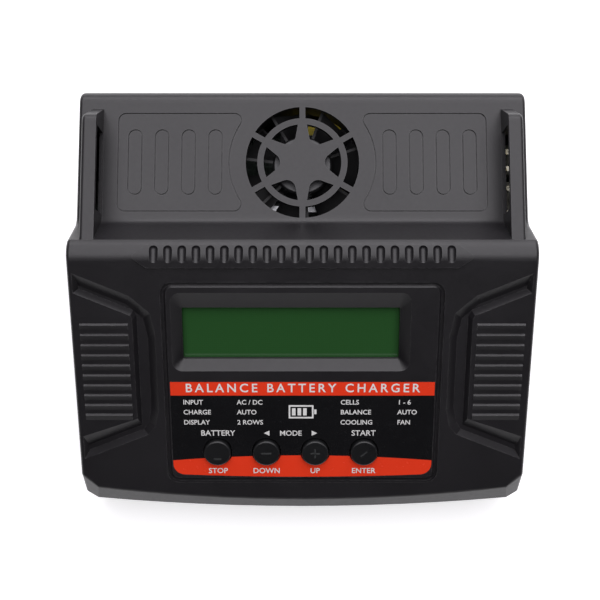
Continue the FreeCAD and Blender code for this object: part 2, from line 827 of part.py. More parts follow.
def label_outline(sketch, grow=0.0):
    """The label: square back corners, round front corners and a bowed front edge."""
    half = float(D["label_half_width"]) + grow
    back, front = -float(D["label_back"]) + grow, -float(D["label_front"]) - grow
    corner, bow_rise = float(D["label_corner"]), float(D["label_bow"])
    lean = corner * (1 - math.sqrt(0.5))
    side_front = front + bow_rise
    left, right = Vector(-half + corner, side_front, 0), Vector(half - corner, side_front, 0)
    segments = [arc(left, Vector(0, front, 0), right)]
    for sign, foot_point in ((-1, left), (1, right)):
        top = Vector(sign * half, side_front + corner, 0)
        middle = Vector(sign * (half - lean), side_front + lean, 0)
        segments.append(arc(foot_point, middle, top))
        segments.append(Part.LineSegment(top, Vector(sign * half, back, 0)))
    segments.append(Part.LineSegment(Vector(-half, back, 0), Vector(half, back, 0)))
    sketch.addGeometry(segments, False)


def add_display_window(body):
    """A thick wall behind the display, its bevelled frame and the window itself."""
    x, half = D["display_x"], D["funnel_width"] / 2 + 2.2
    sketch = new_sketch(body, "XY_Plane", panel_offset(float(D["wall"]) - 0.2))
    rectangle(sketch, x - half, -(D["funnel_front"] + 1.2), x + half, -(D["funnel_back"] - 1.2))
    pad(body, sketch, D["display_wall"] - D["wall"] + 0.2, reverse=True)
    rim = new_sketch(body, "XY_Plane", panel_offset(-0.05))
    panel_rectangle(rim, D["funnel_width"] / 2, D["funnel_back"], D["funnel_front"], 3.0, x)
    base = new_sketch(body, "XY_Plane", panel_offset(D["funnel_depth"]))
    panel_rectangle(base, D["window_width"] / 2, D["window_back"], D["window_front"], 0.5, x)
    before = body.Shape.Volume
    loft = body.newObject("PartDesign::SubtractiveLoft", "display_frame")
    loft.Profile = rim
    loft.Sections = [base]
    loft.Ruled = True
    doc.recompute()
    if body.Shape.Volume > before - 1:
        raise RuntimeError("the display frame removed nothing")
    sketch = new_sketch(body, "XY_Plane", panel_offset(float(D["funnel_depth"]) - 0.1))
    panel_rectangle(sketch, D["window_width"] / 2, D["window_back"], D["window_front"], 0.5, x)
    pocket(body, sketch, D["display_wall"])


KEYS = ("stop", "down", "up", "enter")


def key_x(index):
    return D["key_row_x"] + D["key_pitch"] * (index - 1.5)


def add_key_holes(body):
    for index in range(len(KEYS)):
        sketch = new_sketch(body, "XY_Plane", panel_offset(-0.5))
        circle(sketch, key_x(index), -D["key_row"], D["key_hole"])
        pocket(body, sketch, D["wall"] + 2)


# Outlines of a grip as (x, down the slope). The moat runs from its rim to its bed: a long
# slope at the back and the inner side, a short one at the front. The ribbed pad rises from it.
MOAT_RIM = ((67.5, 7.0), (51.2, 13.9), (45.2, 19.3), (43.9, 26.0), (43.9, 50.5), (45.0, 56.0),
            (47.4, 58.9), (67.5, 67.2))
MOAT_BED = ((66.2, 11.4), (52.4, 17.2), (47.6, 21.6), (46.4, 27.5), (46.4, 50.5), (47.4, 55.4),
            (49.0, 57.9), (66.2, 65.0))
PAD_FOOT = ((67.7, 11.6), (50.3, 19.0), (49.4, 20.6), (49.4, 56.6), (67.7, 64.2))
PAD_TOP = ((67.7, 13.0), (51.1, 20.1), (50.5, 21.3), (50.5, 53.6), (67.7, 59.6))


def panel_loft(body, kind, depths, outlines, sign):
    """A loft between two straight-sided outlines at two depths below the panel."""
    sketches = []
    for depth, outline in zip(depths, outlines):
        sketch = new_sketch(body, "XY_Plane", panel_offset(depth))
        polygon(sketch, [(sign * x, -down) for x, down in outline])
        sketches.append(sketch)
    before = body.Shape.Volume
    loft = body.newObject(f"PartDesign::{kind}Loft", f"{body.Name}_{kind.lower()}")
    loft.Profile = sketches[0]
    loft.Sections = [sketches[1]]
    loft.Ruled = True
    checked(loft)
    if abs(body.Shape.Volume - before) < 1:
        raise RuntimeError(f"{loft.Name} changed nothing")


def add_grip(body, sign):
    """A ribbed grip: a thick wall, a sloping moat, the pad that rises in it and its ribs."""
    sketch = new_sketch(body, "XY_Plane", panel_offset(float(D["wall"]) - 0.2))
    x_low, x_high = sorted((sign * 42.2, sign * (float(HALF_WIDTH) - 1)))
    rectangle(sketch, x_low, -68.5, x_high, -6.0)
    pad(body, sketch, D["grip_depth"] - 0.2, reverse=True)
    depth = float(D["grip_depth"])
    panel_loft(body, "Subtractive", (0.0, depth), (MOAT_RIM, MOAT_BED), sign)
    panel_loft(body, "Additive", (depth + 0.1, 0.0), (PAD_FOOT, PAD_TOP), sign)
    ribs = new_sketch(body, "YZ_Plane", rib_plane(sign))
    for i in range(int(float(D["rib_count"]))):
        back = -(D["rib_first"] + D["rib_pitch"] * i)
        polygon(ribs, [(back + 0.6, -0.2), (back, D["rib_height"]), (back - 2.3, -0.2)])
    pad(body, ribs, D["rib_length"], reverse=sign < 0)


def rib_plane(sign):
    """A plane across the ribs' inner ends, its x axis up the slope."""
    lift = Vector(float(D["ridge_y"]), float(D["ridge_height"]), sign * 51.9)
    return Placement(lift, Rotation(Vector(0, 0, 1), float(D["panel_slope"])))


# Screw posts of the key board: (x, down the slope, depth of the post's root).
CONTROL_POSTS = ((-46.5, 20.0, 2.8), (39.5, 20.0, 1.7), (-46.5, 70.0, 1.7), (39.5, 70.0, 1.7))
DISPLAY_MIDDLE = (D["window_back"] + D["window_front"]) / 2
STAKES = [
    (D["display_x"] + dx, DISPLAY_MIDDLE + dy) for dx in (-36.9, 36.9) for dy in (-15.5, 15.5)
]
STAKE_ROOT = 1.7  # depth of a display post's root below the panel


def add_control_posts(body):
    """Posts below the panel: four for the key board's screws, four staked to the display."""
    for x, down, root in CONTROL_POSTS:
        sketch = new_sketch(body, "XY_Plane", panel_offset(D["control_depth"]))
        circle(sketch, x, -down, 5.5)
        pad(body, sketch, D["control_depth"] - root)
        sketch = new_sketch(body, "XY_Plane", panel_offset(D["control_depth"]))
        circle(sketch, x, -down, D["small_screw"] + 0.1)
        pocket(body, sketch, 7.0, reverse=True)
    tip = D["display_back"] + D["board_thickness"] + 0.4
    for depth, diameter in ((D["display_back"], 4.0), (tip, 2.2)):
        sketch = new_sketch(body, "XY_Plane", panel_offset(depth))
        for x, down in STAKES:
            circle(sketch, x, -down, diameter)
        pad(body, sketch, depth - STAKE_ROOT)


def add_back_vents(body):
    """Upright air slots through the back wall."""
    sketch = new_sketch(body, "XZ_Plane", level(-float(HALF_DEPTH) - 1))
    for i in range(12):
        sketch.addGeometry(slot((i - 5.5) * 6.4, 32, 2.4, 13), False)
    pocket(body, sketch, D["wall"] + 2, reverse=True)


def strip_body():
    """The raised strip over the ridge: a curved band with pointed ends."""
    body = make_body("ridge_strip")
    rise, sink = float(D["strip_height"]), 0.9
    back_run = float(D["ridge_height"]) - float(D["step_height"])
    back_slope = math.atan2(back_run, float(D["step_top_y"]) - float(D["ridge_y"]))

    def band_line(offset):
        """Back end, crown and front end of the ridge's outline, moved out by an offset."""
        half = (back_slope + SLOPE) / 2
        lean = (back_slope - SLOPE) / 2
        reach = offset / math.cos(half)
        crown_y = float(D["ridge_y"]) + reach * math.sin(lean)
        crown_z = float(D["ridge_height"]) + reach * math.cos(lean)
        back_y, front_y = float(D["strip_back_y"]) + 1.5, float(D["strip_front_y"]) - 1.5
        return [(back_y, crown_z - (back_y - crown_y) * math.tan(back_slope)),
                (crown_y, crown_z),
                (front_y, crown_z - (crown_y - front_y) * math.tan(SLOPE))]

    upper, lower = band_line(rise), band_line(-sink)
    radius = float(D["ridge_radius"])
    sketch = new_sketch(body, "YZ_Plane")
    sketch.addGeometry(rounded([
        (*upper[0], 0), (*upper[1], radius + rise), (*upper[2], 0),
        (*lower[2], 0), (*lower[1], radius - sink), (*lower[0], 0),
    ]), False)
    pad(body, sketch, 2 * D["strip_half_length"], side="Symmetric")
    tip, full = float(D["strip_half_length"]), float(D["strip_full_x"])
    front, back, point = (float(D[name]) for name in
                          ("strip_front_y", "strip_back_y", "strip_tip_y"))
    edge = tip + 3
    sketch = new_sketch(body, "XY_Plane", level(D["ridge_height"] + 2))
    sketch.addGeometry(rounded([(-edge, front - 5, 0), (edge, front - 5, 0),
                                (edge, back + 5, 0), (-edge, back + 5, 0)]), False)
    sketch.addGeometry(rounded([(-full, front, 1), (full, front, 1), (tip, point, 0.8),
                                (full, back, 1), (-full, back, 1), (-tip, point, 0.8)]), False)
    pocket(body, sketch, 12)
    return body


def round_rear_corners(body):
    """Cut the two upright rear corners round."""
    radius = float(D["rear_radius"])
    side, back, out = float(HALF_WIDTH), float(HALF_DEPTH), float(BEYOND) / 3
    lean = radius * (1 - math.sqrt(0.5))
    sketch = new_sketch(body, "XY_Plane", level(D["deck_height"] + 1))
    for sign in SIDES.values():
        turn = [Vector(sign * side, back - radius, 0), Vector(sign * (side - lean), back - lean, 0),
                Vector(sign * (side - radius), back, 0)]
        around = [turn[2], Vector(turn[2].x, back + out, 0),
                  Vector(sign * (side + out), back + out, 0),
                  Vector(sign * (side + out), back - radius, 0), turn[0]]
        segments = [arc(*turn)]
        segments += [Part.LineSegment(a, b) for a, b in zip(around, around[1:])]
        sketch.addGeometry(segments, False)
    pocket(body, sketch, D["deck_height"])


def round_front_edge(body):
    """Round the edge between the panel and the front bevel, from side to side."""
    base = body.Tip
    names = []
    for i, edge in enumerate(base.Shape.Edges, start=1):
        ends = [vertex.Point for vertex in edge.Vertexes]
        on_panel = all(abs(end.z - float(panel_height(end.y))) < 0.02 for end in ends)
        if on_panel and all(end.y < -50 for end in ends) and edge.Length > 3:
            names.append(f"Edge{i}")
    feature = body.newObject("PartDesign::Fillet", "front_edge_round")
    feature.Base = (base, names)
    bind(feature, "Radius", D["bevel_round"])
    return checked(feature)


def dimple_tool():
    """A row of lying capsules that press the dimples into the ridge."""
    body = make_body("dimple_row")
    radius = D["dimple_radius"]
    count = D["dimple_count"]
    first = -(count - 1) / 2 * D["dimple_pitch"]
    low, high = float(D["dimple_front_y"]), float(D["dimple_back_y"])
    size = float(radius)
    height = float(D["ridge_height"]) + float(D["strip_height"]) - 0.45
    sketch = new_sketch(body, "YZ_Plane", level(first))
    near, far = low + size, high - size
    corner = size * math.sqrt(0.5)
    sketch.addGeometry([
        Part.LineSegment(Vector(low, height, 0), Vector(high, height, 0)),
        arc(Vector(high, height, 0), Vector(far + corner, height + corner, 0),
            Vector(far, height + size, 0)),
        Part.LineSegment(Vector(far, height + size, 0), Vector(near, height + size, 0)),
        arc(Vector(near, height + size, 0), Vector(near - corner, height + corner, 0),
            Vector(low, height, 0)),
    ], False)
    axis = sketch.addGeometry(
        Part.LineSegment(Vector(low - 1, height, 0), Vector(high + 1, height, 0)), True)
    feature = body.newObject("PartDesign::Revolution", "dimple")
    feature.Profile = sketch
    feature.ReferenceAxis = (sketch, ["Axis0"])
    feature.Angle = 360
    checked(feature)
    pattern = body.newObject("PartDesign::LinearPattern", "dimples")
    pattern.Originals = [feature]
    line = next(item for item in body.Origin.OriginFeatures if item.Role == "X_Axis")
    pattern.Direction = (line, [""])
    bind(pattern, "Length", (count - 1) * D["dimple_pitch"])
    pattern.Occurrences = int(float(count))
    body.Tip = pattern
    checked(pattern)
    return body


def top_cover():
    body = make_body("cover_shell")
    sketch = new_sketch(body, "YZ_Plane")
    cover_profile(sketch)
    pad(body, sketch, D["case_width"], side="Symmetric")
    dress(body, "Fillet", D["deck_back_radius"], [(0, HALF_DEPTH, D["deck_height"])])
    dress(body, "Fillet", D["step_radius"], [(0, D["step_base_y"], D["deck_height"])])
    dress(body, "Fillet", D["ridge_radius"], [(0, D["ridge_y"], D["ridge_height"])])
    panel_y = D["ridge_y"] - 20
    sides = [(sign * HALF_WIDTH, y, z) for sign in SIDES.values()
             for y, z in ((panel_y, panel_height(panel_y)), (D["fan_y"], D["deck_height"]))]
    dress(body, "Fillet", D["edge_radius"], sides)
    round_rear_corners(body)
    trim_front(body)
    round_front_edge(body)
    hollow_cover(body)
    add_inlays(body)
    add_grille(body)
    add_case_posts(body)
    add_panel_field(body)
    add_display_window(body)
    for sign in SIDES.values():
        add_grip(body, sign)
    add_key_holes(body)
    add_control_posts(body)
    add_back_vents(body)
    cut_ports(body, float(D["seam_height"]), float(D["deck_height"]))
    rails = [rail_body(side, sign) for side, sign in SIDES.items()]
    whole = joined("cover_with_strip", [body, strip_body()] + rails)
    return cut_from("top_cover", whole, dimple_tool())


NODES = {}


def node(thing):
    NODES[thing.Label] = thing
    return thing


node(top_cover())


# ---------------------------------------------------------------- small shared pieces

FLOOR_TOP = D["foot_height"] + D["floor"]
BOARD_TOP = D["board_height"] + D["board_thickness"]
GAP = 0.05  # play of a part sitting in its own hole


def revolve(body, role, corners, offset=None):
    """A turned solid: corners are (radius, height) on a plane through the axis."""
    sketch = new_sketch(body, role, offset)
    polygon(sketch, corners)
    feature = body.newObject("PartDesign::Revolution", f"{body.Name}_turned")
    feature.Profile = sketch
    feature.ReferenceAxis = (sketch, ["V_Axis"])
    feature.Angle = 360
    return checked(feature)


def screw(label, placement, shank, length, head, head_height):
    """A cross-head screw standing on its head's top face, shank along +Z of its placement."""
    body = make_body(label, placement)
    half, wide = shank / 2, head / 2
    revolve(body, "XZ_Plane", [
        (0, 0), (wide - 0.4, 0), (wide, 0.4), (wide, head_height), (half, head_height),
        (half, head_height + length - half), (0, head_height + length),
    ])
    slot_width, reach = head * 0.16, head * 0.3
    sketch = new_sketch(body, "XY_Plane")
    polygon(sketch, [
        (-reach, -slot_width / 2), (-slot_width / 2, -slot_width / 2), (-slot_width / 2, -reach),
        (slot_width / 2, -reach), (slot_width / 2, -slot_width / 2), (reach, -slot_width / 2),
        (reach, slot_width / 2), (slot_width / 2, slot_width / 2), (slot_width / 2, reach),
        (-slot_width / 2, reach), (-slot_width / 2, slot_width / 2), (-reach, slot_width / 2),
    ])
    pocket(body, sketch, head_height * 0.6, reverse=True)
    return body


def upright(x, y, z, up=True):
    """Placement of a screw that points up, or down."""
    turn = Rotation() if up else Rotation(Vector(1, 0, 0), 180)
    return Placement(Vector(float(x), float(y), float(z)), turn)


def plate(label, outline, holes, low, thickness, placement=None):
    """A flat board: outline corners, round holes (x, y, diameter), bottom and thickness."""
    body = make_body(label, placement)
    sketch = new_sketch(body, "XY_Plane", level(low))
    polygon(sketch, outline)
    pad(body, sketch, thickness)
    if holes:
        sketch = new_sketch(body, "XY_Plane", level(float(low) + float(thickness)))
        for x, y, diameter in holes:
            circle(sketch, x, y, diameter)
        pocket(body, sketch, thickness + 1)
    return body


def corners_of(x_low, y_low, x_high, y_high):
    return [(x_low, y_low), (x_high, y_low), (x_high, y_high), (x_low, y_high)]


def can(label, x, y, low, diameter, height, rim=0.8):
    """An upright capacitor can with a rounded top and a crimp near its base."""
    body = make_body(label, upright(x, y, low))
    radius = diameter / 2
    revolve(body, "XZ_Plane", [
        (0, 0), (radius - 0.3, 0), (radius, 0.4), (radius, 1.6), (radius - 0.4, 2.1),
        (radius, 2.6), (radius, height - rim), (radius - rim, height),
        (radius - rim - 0.6, height), (radius - rim - 0.8, height - 0.3), (0, height - 0.3),
    ])
    return body


def ring(label, placement, outer, inner, height):
    """A ring with eased edges, such as a wound core or a sleeve."""
    body = make_body(label, placement)
    far, near, ease = outer / 2, inner / 2, 0.1 * (outer - inner)
    revolve(body, "XZ_Plane", [
        (near + ease, 0), (far - ease, 0), (far, ease), (far, height - ease),
        (far - ease, height), (near + ease, height), (near, height - ease), (near, ease),
    ])
    return body


# ---------------------------------------------------------------- bottom shell

POWER_SCREWS = ((-60, 12), (14, 9), (-26, 57), (14, 57))
MAIN_SCREWS = ((26, -32), (50, -33), (26, 57), (46, 57))
FEET = {
    "front_left": (-50, -36), "front_right": (50, -36),
    "rear_left": (-50, 42), "rear_right": (50, 42),
}


def boss(body, x, y, low, high, diameter, hole, hole_low):
    """A boss on the floor with a hole sunk from its top."""
    sketch = new_sketch(body, "XY_Plane", level(low))
    circle(sketch, x, y, diameter)
    pad(body, sketch, high - low)
    sketch = new_sketch(body, "XY_Plane", level(high))
    circle(sketch, x, y, hole)
    pocket(body, sketch, high - hole_low)


def bottom_case():
    """Floor and low walls, screw bosses, board standoffs, foot seats, air slots and ports."""
    body = make_body("bottom_case")
    low = D["foot_height"]
    sketch = new_sketch(body, "XY_Plane", level(low))
    sketch.addGeometry(case_outline(0, D["rear_radius"]), False)
    pad(body, sketch, D["seam_height"] - low)
    rim = [(0, HALF_DEPTH, low), (0, -HALF_DEPTH, low), (HALF_WIDTH, 0, low), (-HALF_WIDTH, 0, low)]
    corner = (HALF_WIDTH - 2, CORNER_Y - 1.15, low)
    rim += [corner, (-corner[0], corner[1], low)]
    dress(body, "Chamfer", 1.0, rim)
    sketch = new_sketch(body, "XY_Plane", level(D["seam_height"]))
    sketch.addGeometry(case_outline(D["wall"], D["rear_radius"] - D["wall"]), False)
    pocket(body, sketch, D["seam_height"] - FLOOR_TOP)
    for x, y in CASE_SCREWS:
        boss(body, x, y, FLOOR_TOP - 0.5, FLOOR_TOP + 4.5, 8.4, D["screw_diameter"] + 0.3, low - 1)
        sketch = new_sketch(body, "XY_Plane", level(low))
        circle(sketch, x, y, 6.4)
        pocket(body, sketch, 2.6, reverse=True)
    for x, y in POWER_SCREWS + MAIN_SCREWS:
        boss(body, x, y, FLOOR_TOP - 0.5, D["board_height"], 5.6, D["small_screw"] + 0.1, low + 2.5)
    for x, y in FEET.values():
        sketch = new_sketch(body, "XY_Plane", level(low))
        circle(sketch, x, y, D["foot_diameter"] + 0.2)
        pocket(body, sketch, 0.6, reverse=True)
    sketch = new_sketch(body, "XY_Plane", level(FLOOR_TOP))
    for i in range(12):
        sketch.addGeometry(slot((i - 5.5) * 5.6, -18, 2.4, 30), False)
    pocket(body, sketch, D["floor"] + 1)
    cut_ports(body, 0.0, float(D["seam_height"]))
    return body


def foot(name, x, y):
    """A round rubber foot, eased at its lower edge."""
    body = make_body(f"foot_{name}", upright(x, y, 0))
    radius = D["foot_diameter"] / 2
    height = D["foot_height"] + 0.6
    revolve(body, "XZ_Plane", [
        (0, 0), (radius - 0.6, 0), (radius, 0.6), (radius, height), (0, height),
    ])
    return body


node(bottom_case())
for name, (x, y) in FEET.items():
    node(foot(name, x, y))
node(group("case_screws", [
    screw(f"case_screw_{i}", upright(x, y, D["foot_height"] + 0.6),
          D["screw_diameter"], 13, 5.6, 2.0)
    for i, (x, y) in enumerate(CASE_SCREWS)
]))


# ---------------------------------------------------------------- keys and their switches

def panel_place(x, down, depth=0.0):
    """A placement on the panel: x across, z out of it, sunk by a depth."""
    return PANEL * Placement(Vector(float(x), -float(down), -float(depth)), Rotation())


def front_label():
    """The printed label, flush with the panel, with a hole round every key."""
    body = make_body("front_label", panel_offset(D["label_thickness"]))
    sketch = new_sketch(body, "XY_Plane")
    label_outline(sketch)
    for index in range(len(KEYS)):
        circle(sketch, key_x(index), -D["key_row"], D["key_hole"] + 0.2)
    pad(body, sketch, D["label_thickness"])
    return body


FLANGE_TOP = 2.3  # key flange below the panel's surface
FLANGE_BOTTOM = 3.2
PLUNGER_TOP = 5.0
SWITCH_TOP = 11.0
STROKES = {  # engraved strokes of a key: (x_low, y_low, x_high, y_high)
    "stop": [(-1.1, -2.0, 1.1, -1.6)],
    "down": [(-1.5, -0.2, 1.5, 0.2)],
    "up": [(-1.5, -0.2, 1.5, 0.2), (-0.2, -1.5, 0.2, -0.35), (-0.2, 0.35, 0.2, 1.5)],
    "enter": [],
}


def key_cap(name, x):
    """A round key: cap with an eased rim and engraved mark, flange and stem."""
    body = make_body(f"button_{name}", panel_place(x, D["key_row"]))
    cap, rise = D["key_diameter"] / 2, D["key_rise"]
    revolve(body, "XZ_Plane", [
        (0, -PLUNGER_TOP), (1.6, -PLUNGER_TOP), (1.6, -FLANGE_BOTTOM), (5.3, -FLANGE_BOTTOM),
        (5.3, -FLANGE_TOP), (cap, -FLANGE_TOP), (cap, rise - 0.4), (cap - 0.12, rise - 0.12),
        (cap - 0.4, rise), (0, rise),
    ])
    sketch = new_sketch(body, "XY_Plane", level(rise))
    for stroke in STROKES[name]:
        rectangle(sketch, *stroke)
    if name == "enter":
        polygon(sketch, [(-1.2, -0.9), (-0.95, -1.2), (1.2, 0.55), (0.95, 0.85)])
    pocket(body, sketch, 0.25)
    return body


def switch_base(name, x):
    """A tact switch body with its plunger hole and corner rivets."""
    body = make_body(f"switch_base_{name}", panel_place(x, D["key_row"], D["control_depth"]))
    height = D["control_depth"] - SWITCH_TOP
    sketch = new_sketch(body, "XY_Plane")
    rectangle(sketch, -3, -3, 3, 3)
    pad(body, sketch, height)
    sketch = new_sketch(body, "XY_Plane", level(height - 0.1))
    for sx in (-2.3, 2.3):
        for sy in (-2.3, 2.3):
            circle(sketch, sx, sy, 0.8)
    pad(body, sketch, 0.4)
    sketch = new_sketch(body, "XY_Plane", level(height + 0.5))
    circle(sketch, 0, 0, 3.6)
    pocket(body, sketch, 2.3)
    return body


for index, name in enumerate(KEYS):
    x = key_x(index)
    node(key_cap(name, x))
    start = (x, -D["key_row"], -Dim(12.0, "12"))
    node(cylinder(f"switch_plunger_{name}", Dim(3.5, "3.5"), start, 12.0 - PLUNGER_TOP,
                  placement=PANEL))
    node(switch_base(name, x))
node(front_label())


# ---------------------------------------------------------------- display and key board

def lcd_bezel():
    """The display's folded metal frame: a shallow tray with a window."""
    body = make_body("lcd_bezel", panel_place(D["display_x"], DISPLAY_MIDDLE, D["display_back"]))
    height = D["display_back"] - D["display_depth"]
    skin = 0.5
    for half_x, half_y, start, run in (
        (35.6, 12.1, 0.0, height), (35.1, 11.6, 0.0, height - skin), (33.1, 8.7, -1.0, height + 2),
    ):
        sketch = new_sketch(body, "XY_Plane", level(start))
        rectangle(sketch, -half_x, -half_y, half_x, half_y)
        if half_x == 35.6:
            pad(body, sketch, run)
        else:
            pocket(body, sketch, run, reverse=True)
    return body


def lcd_glass():
    body = make_body("lcd_glass", panel_place(D["display_x"], DISPLAY_MIDDLE, D["display_back"]))
    top = float(D["display_back"] - D["display_depth"]) - 0.55
    sketch = new_sketch(body, "XY_Plane", level(top - 2.8))
    rectangle(sketch, -34.9, -11.4, 34.9, 11.4)
    pad(body, sketch, 2.8)
    return body


def lcd_board():
    """The display's board, staked on four pins."""
    x, y = D["display_x"], -DISPLAY_MIDDLE
    outline = corners_of(x - 39.5, y - 18, x + 39.5, y + 18)
    holes = [(px, -down, 2.4) for px, down in STAKES]
    body = plate("lcd_board", outline, holes, -(D["display_back"] + D["board_thickness"]),
                 D["board_thickness"], PANEL)
    return body


def control_board():
    """The key board, parallel to the panel."""
    holes = [(x, -down, 2.6) for x, down, root in CONTROL_POSTS]
    return plate("control_board", corners_of(-50.5, -77, 43.5, -14), holes,
                 -(D["control_depth"] + D["board_thickness"]), D["board_thickness"], PANEL)


node(lcd_bezel())
node(lcd_glass())
node(lcd_board())
node(control_board())
node(group("control_board_screws", [
    screw(f"control_screw_{i}",
          panel_place(x, down, D["control_depth"] + D["board_thickness"] + 1.4),
          D["small_screw"], 7.0, 4.2, 1.4)
    for i, (x, down, root) in enumerate(CONTROL_POSTS)
]))


# ---------------------------------------------------------------- fan

FAN_LOW = D["fan_top"] - D["fan_thickness"]
FAN_BORE = 38.0
HUB_RADIUS = 9.2
BLADE_COUNT = 7
BLADE_REACH = 18.2
SHAFT = 2.0


def fan_place(height=0.0):
    """A placement on the fan axis above the underside of its frame."""
    return upright(0, D["fan_y"], FAN_LOW + height)


def fan_frame():
    """Square frame with rounded corners, a round duct, four holes and a motor seat."""
    body = make_body("fan_frame", fan_place())
    half, thick = D["fan_size"] / 2, D["fan_thickness"]
    sketch = new_sketch(body, "XY_Plane")
    corner = 3.5
    sketch.addGeometry(rounded([(x, y, corner) for x, y in corners_of(-half, -half, half, half)]),
                       False)
    pad(body, sketch, thick)
    sketch = new_sketch(body, "XY_Plane", level(thick))
    circle(sketch, 0, 0, FAN_BORE)
    pocket(body, sketch, thick + 1)
    sketch = new_sketch(body, "XY_Plane", level(thick))
    pitch = D["fan_pitch"] / 2
    for x, y in corners_of(-pitch, -pitch, pitch, pitch):
        circle(sketch, x, y, 3.2)
    pocket(body, sketch, thick + 1)
    for turn in (45, 135):
        arm = new_sketch(body, "XY_Plane", Placement(Vector(), Rotation(Vector(0, 0, 1), turn)))
        rectangle(arm, -19.6, -1.1, 19.6, 1.1)
        pad(body, arm, 1.0)
    sketch = new_sketch(body, "XY_Plane")
    circle(sketch, 0, 0, 18)
    pad(body, sketch, 1.0)
    sketch = new_sketch(body, "XY_Plane")
    circle(sketch, 0, 0, 6.4)
    pad(body, sketch, 6.0)
    sketch = new_sketch(body, "XY_Plane", level(6.0))
    circle(sketch, 0, 0, 4.6)
    pocket(body, sketch, 5.4)
    return body


def fan_impeller():
    """Hub cup and seven swept blades."""
    body = make_body("fan_impeller", fan_place())
    top, low, roof = 9.2, 1.6, 1.2
    wall = 0.9
    revolve(body, "XZ_Plane", [
        (HUB_RADIUS - wall, low), (HUB_RADIUS, low), (HUB_RADIUS, top - 0.5),
        (HUB_RADIUS - 0.5, top), (0, top), (0, top - roof - 1.0), (2.0, top - roof - 1.0),
        (2.0, top - roof), (HUB_RADIUS - wall, top - roof),
    ])
    sketch = new_sketch(body, "XY_Plane", level(top - roof - 1.0))
    circle(sketch, 0, 0, SHAFT)
    pocket(body, sketch, 1.5, reverse=True)
    profiles = []
    for reach, lean, rise in ((HUB_RADIUS - 0.5, 3.3, 6.0), (BLADE_REACH - 0.9, 6.2, 6.0)):
        sketch = new_sketch(body, "YZ_Plane", level(reach))
        thick = 0.9
        base = 2.4
        polygon(sketch, [(-lean, base), (-lean + thick, base), (lean, base + rise),
                         (lean - thick, base + rise)])
        profiles.append(sketch)
    loft = body.newObject("PartDesign::AdditiveLoft", "blade")
    loft.Profile = profiles[0]
    loft.Sections = [profiles[1]]
    checked(loft)
    pattern = body.newObject("PartDesign::PolarPattern", "blades")
    pattern.Originals = [loft]
    axis = next(item for item in body.Origin.OriginFeatures if item.Role == "Z_Axis")
    pattern.Axis = (axis, [""])
    pattern.Angle = 360
    pattern.Occurrences = BLADE_COUNT
    body.Tip = pattern
    checked(pattern)
    return body


def fan_stator():
    """Four-pole coil pack on the bearing tube."""
    body = make_body("fan_stator", fan_place())
    sketch = new_sketch(body, "XY_Plane", level(2.0))
    circle(sketch, 0, 0, 9.6)
    circle(sketch, 0, 0, 6.5)
    pad(body, sketch, 3.6)
    for turn in (0, 90):
        offset = Placement(Vector(0, 0, 2.2), Rotation(Vector(0, 0, 1), turn))
        sketch = new_sketch(body, "XY_Plane", offset)
        for sign in (-1, 1):
            reach = sorted((sign * 4.4, sign * 7.4))
            rectangle(sketch, reach[0], -2.4, reach[1], 2.4)
        pad(body, sketch, 3.2)
    return body


node(fan_frame())
node(fan_impeller())
node(fan_stator())
node(ring("fan_bearing", fan_place(1.0), 4.5, SHAFT + 0.06, 4.8))
node(cylinder("fan_shaft", Dim(SHAFT - 0.02, "1.98"), (0, D["fan_y"], FAN_LOW + 1.2),
              Dim(6.9, "6.9")))
half_pitch = float(D["fan_pitch"]) / 2
node(group("fan_screws", [
    screw(f"fan_screw_{i}", upright(x, D["fan_y"] + y, FAN_LOW - 1.4),
          D["small_screw"], 12.0, 4.2, 1.4)
    for i, (x, y) in enumerate(corners_of(-half_pitch, -half_pitch, half_pitch, half_pitch))
]))


# ---------------------------------------------------------------- mains board

def power_board():
    holes = [(x, y, 2.6) for x, y in POWER_SCREWS]
    holes.append((-D["screw_x"], D["screw_rear_y"], 9.2))
    return plate("power_board", corners_of(-65, -5, 19, 61), holes, D["board_height"],
                 D["board_thickness"])


def transformer():
    """A double-E core and the taped winding round its middle leg."""
    x, y = 6, 49
    low = float(BOARD_TOP) + 0.6
    core = make_body("transformer_core", Placement(Vector(x, y, low), Rotation()))
    sketch = new_sketch(core, "XZ_Plane")
    rectangle(sketch, -13, 0, 13, 20)
    pad(core, sketch, 11.0, side="Symmetric")
    sketch = new_sketch(core, "XZ_Plane")
    for x_low, x_high in ((-9.4, -4.0), (4.0, 9.4)):
        rectangle(sketch, x_low, 3.2, x_high, 16.8)
    pocket(core, sketch, 13.0, side="Symmetric")
    winding = make_body("transformer_winding", Placement(Vector(x, y, low), Rotation()))
    sketch = new_sketch(winding, "XY_Plane", level(3.4))
    sketch.addGeometry(rounded([(cx, cy, 4.0) for cx, cy in corners_of(-9.2, -10.6, 9.2, 10.6)]),
                       False)
    sketch.addGeometry(rounded([(cx, cy, 0) for cx, cy in corners_of(-4.2, -5.7, 4.2, 5.7)]), False)
    pad(winding, sketch, 13.2)
    return core, winding


def power_heatsink():
    """An upright plate with short fins on its front face."""
    body = make_body("power_heatsink", upright(0, 0, BOARD_TOP))
    sketch = new_sketch(body, "XY_Plane")
    rectangle(sketch, -16, 29, 18, 31)
    pad(body, sketch, 21.5)
    for i in range(9):
        sketch = new_sketch(body, "XY_Plane")
        x = -15.2 + i * 4.05
        rectangle(sketch, x, 25, x + 0.9, 29.2)
        pad(body, sketch, 21.5)
    return body


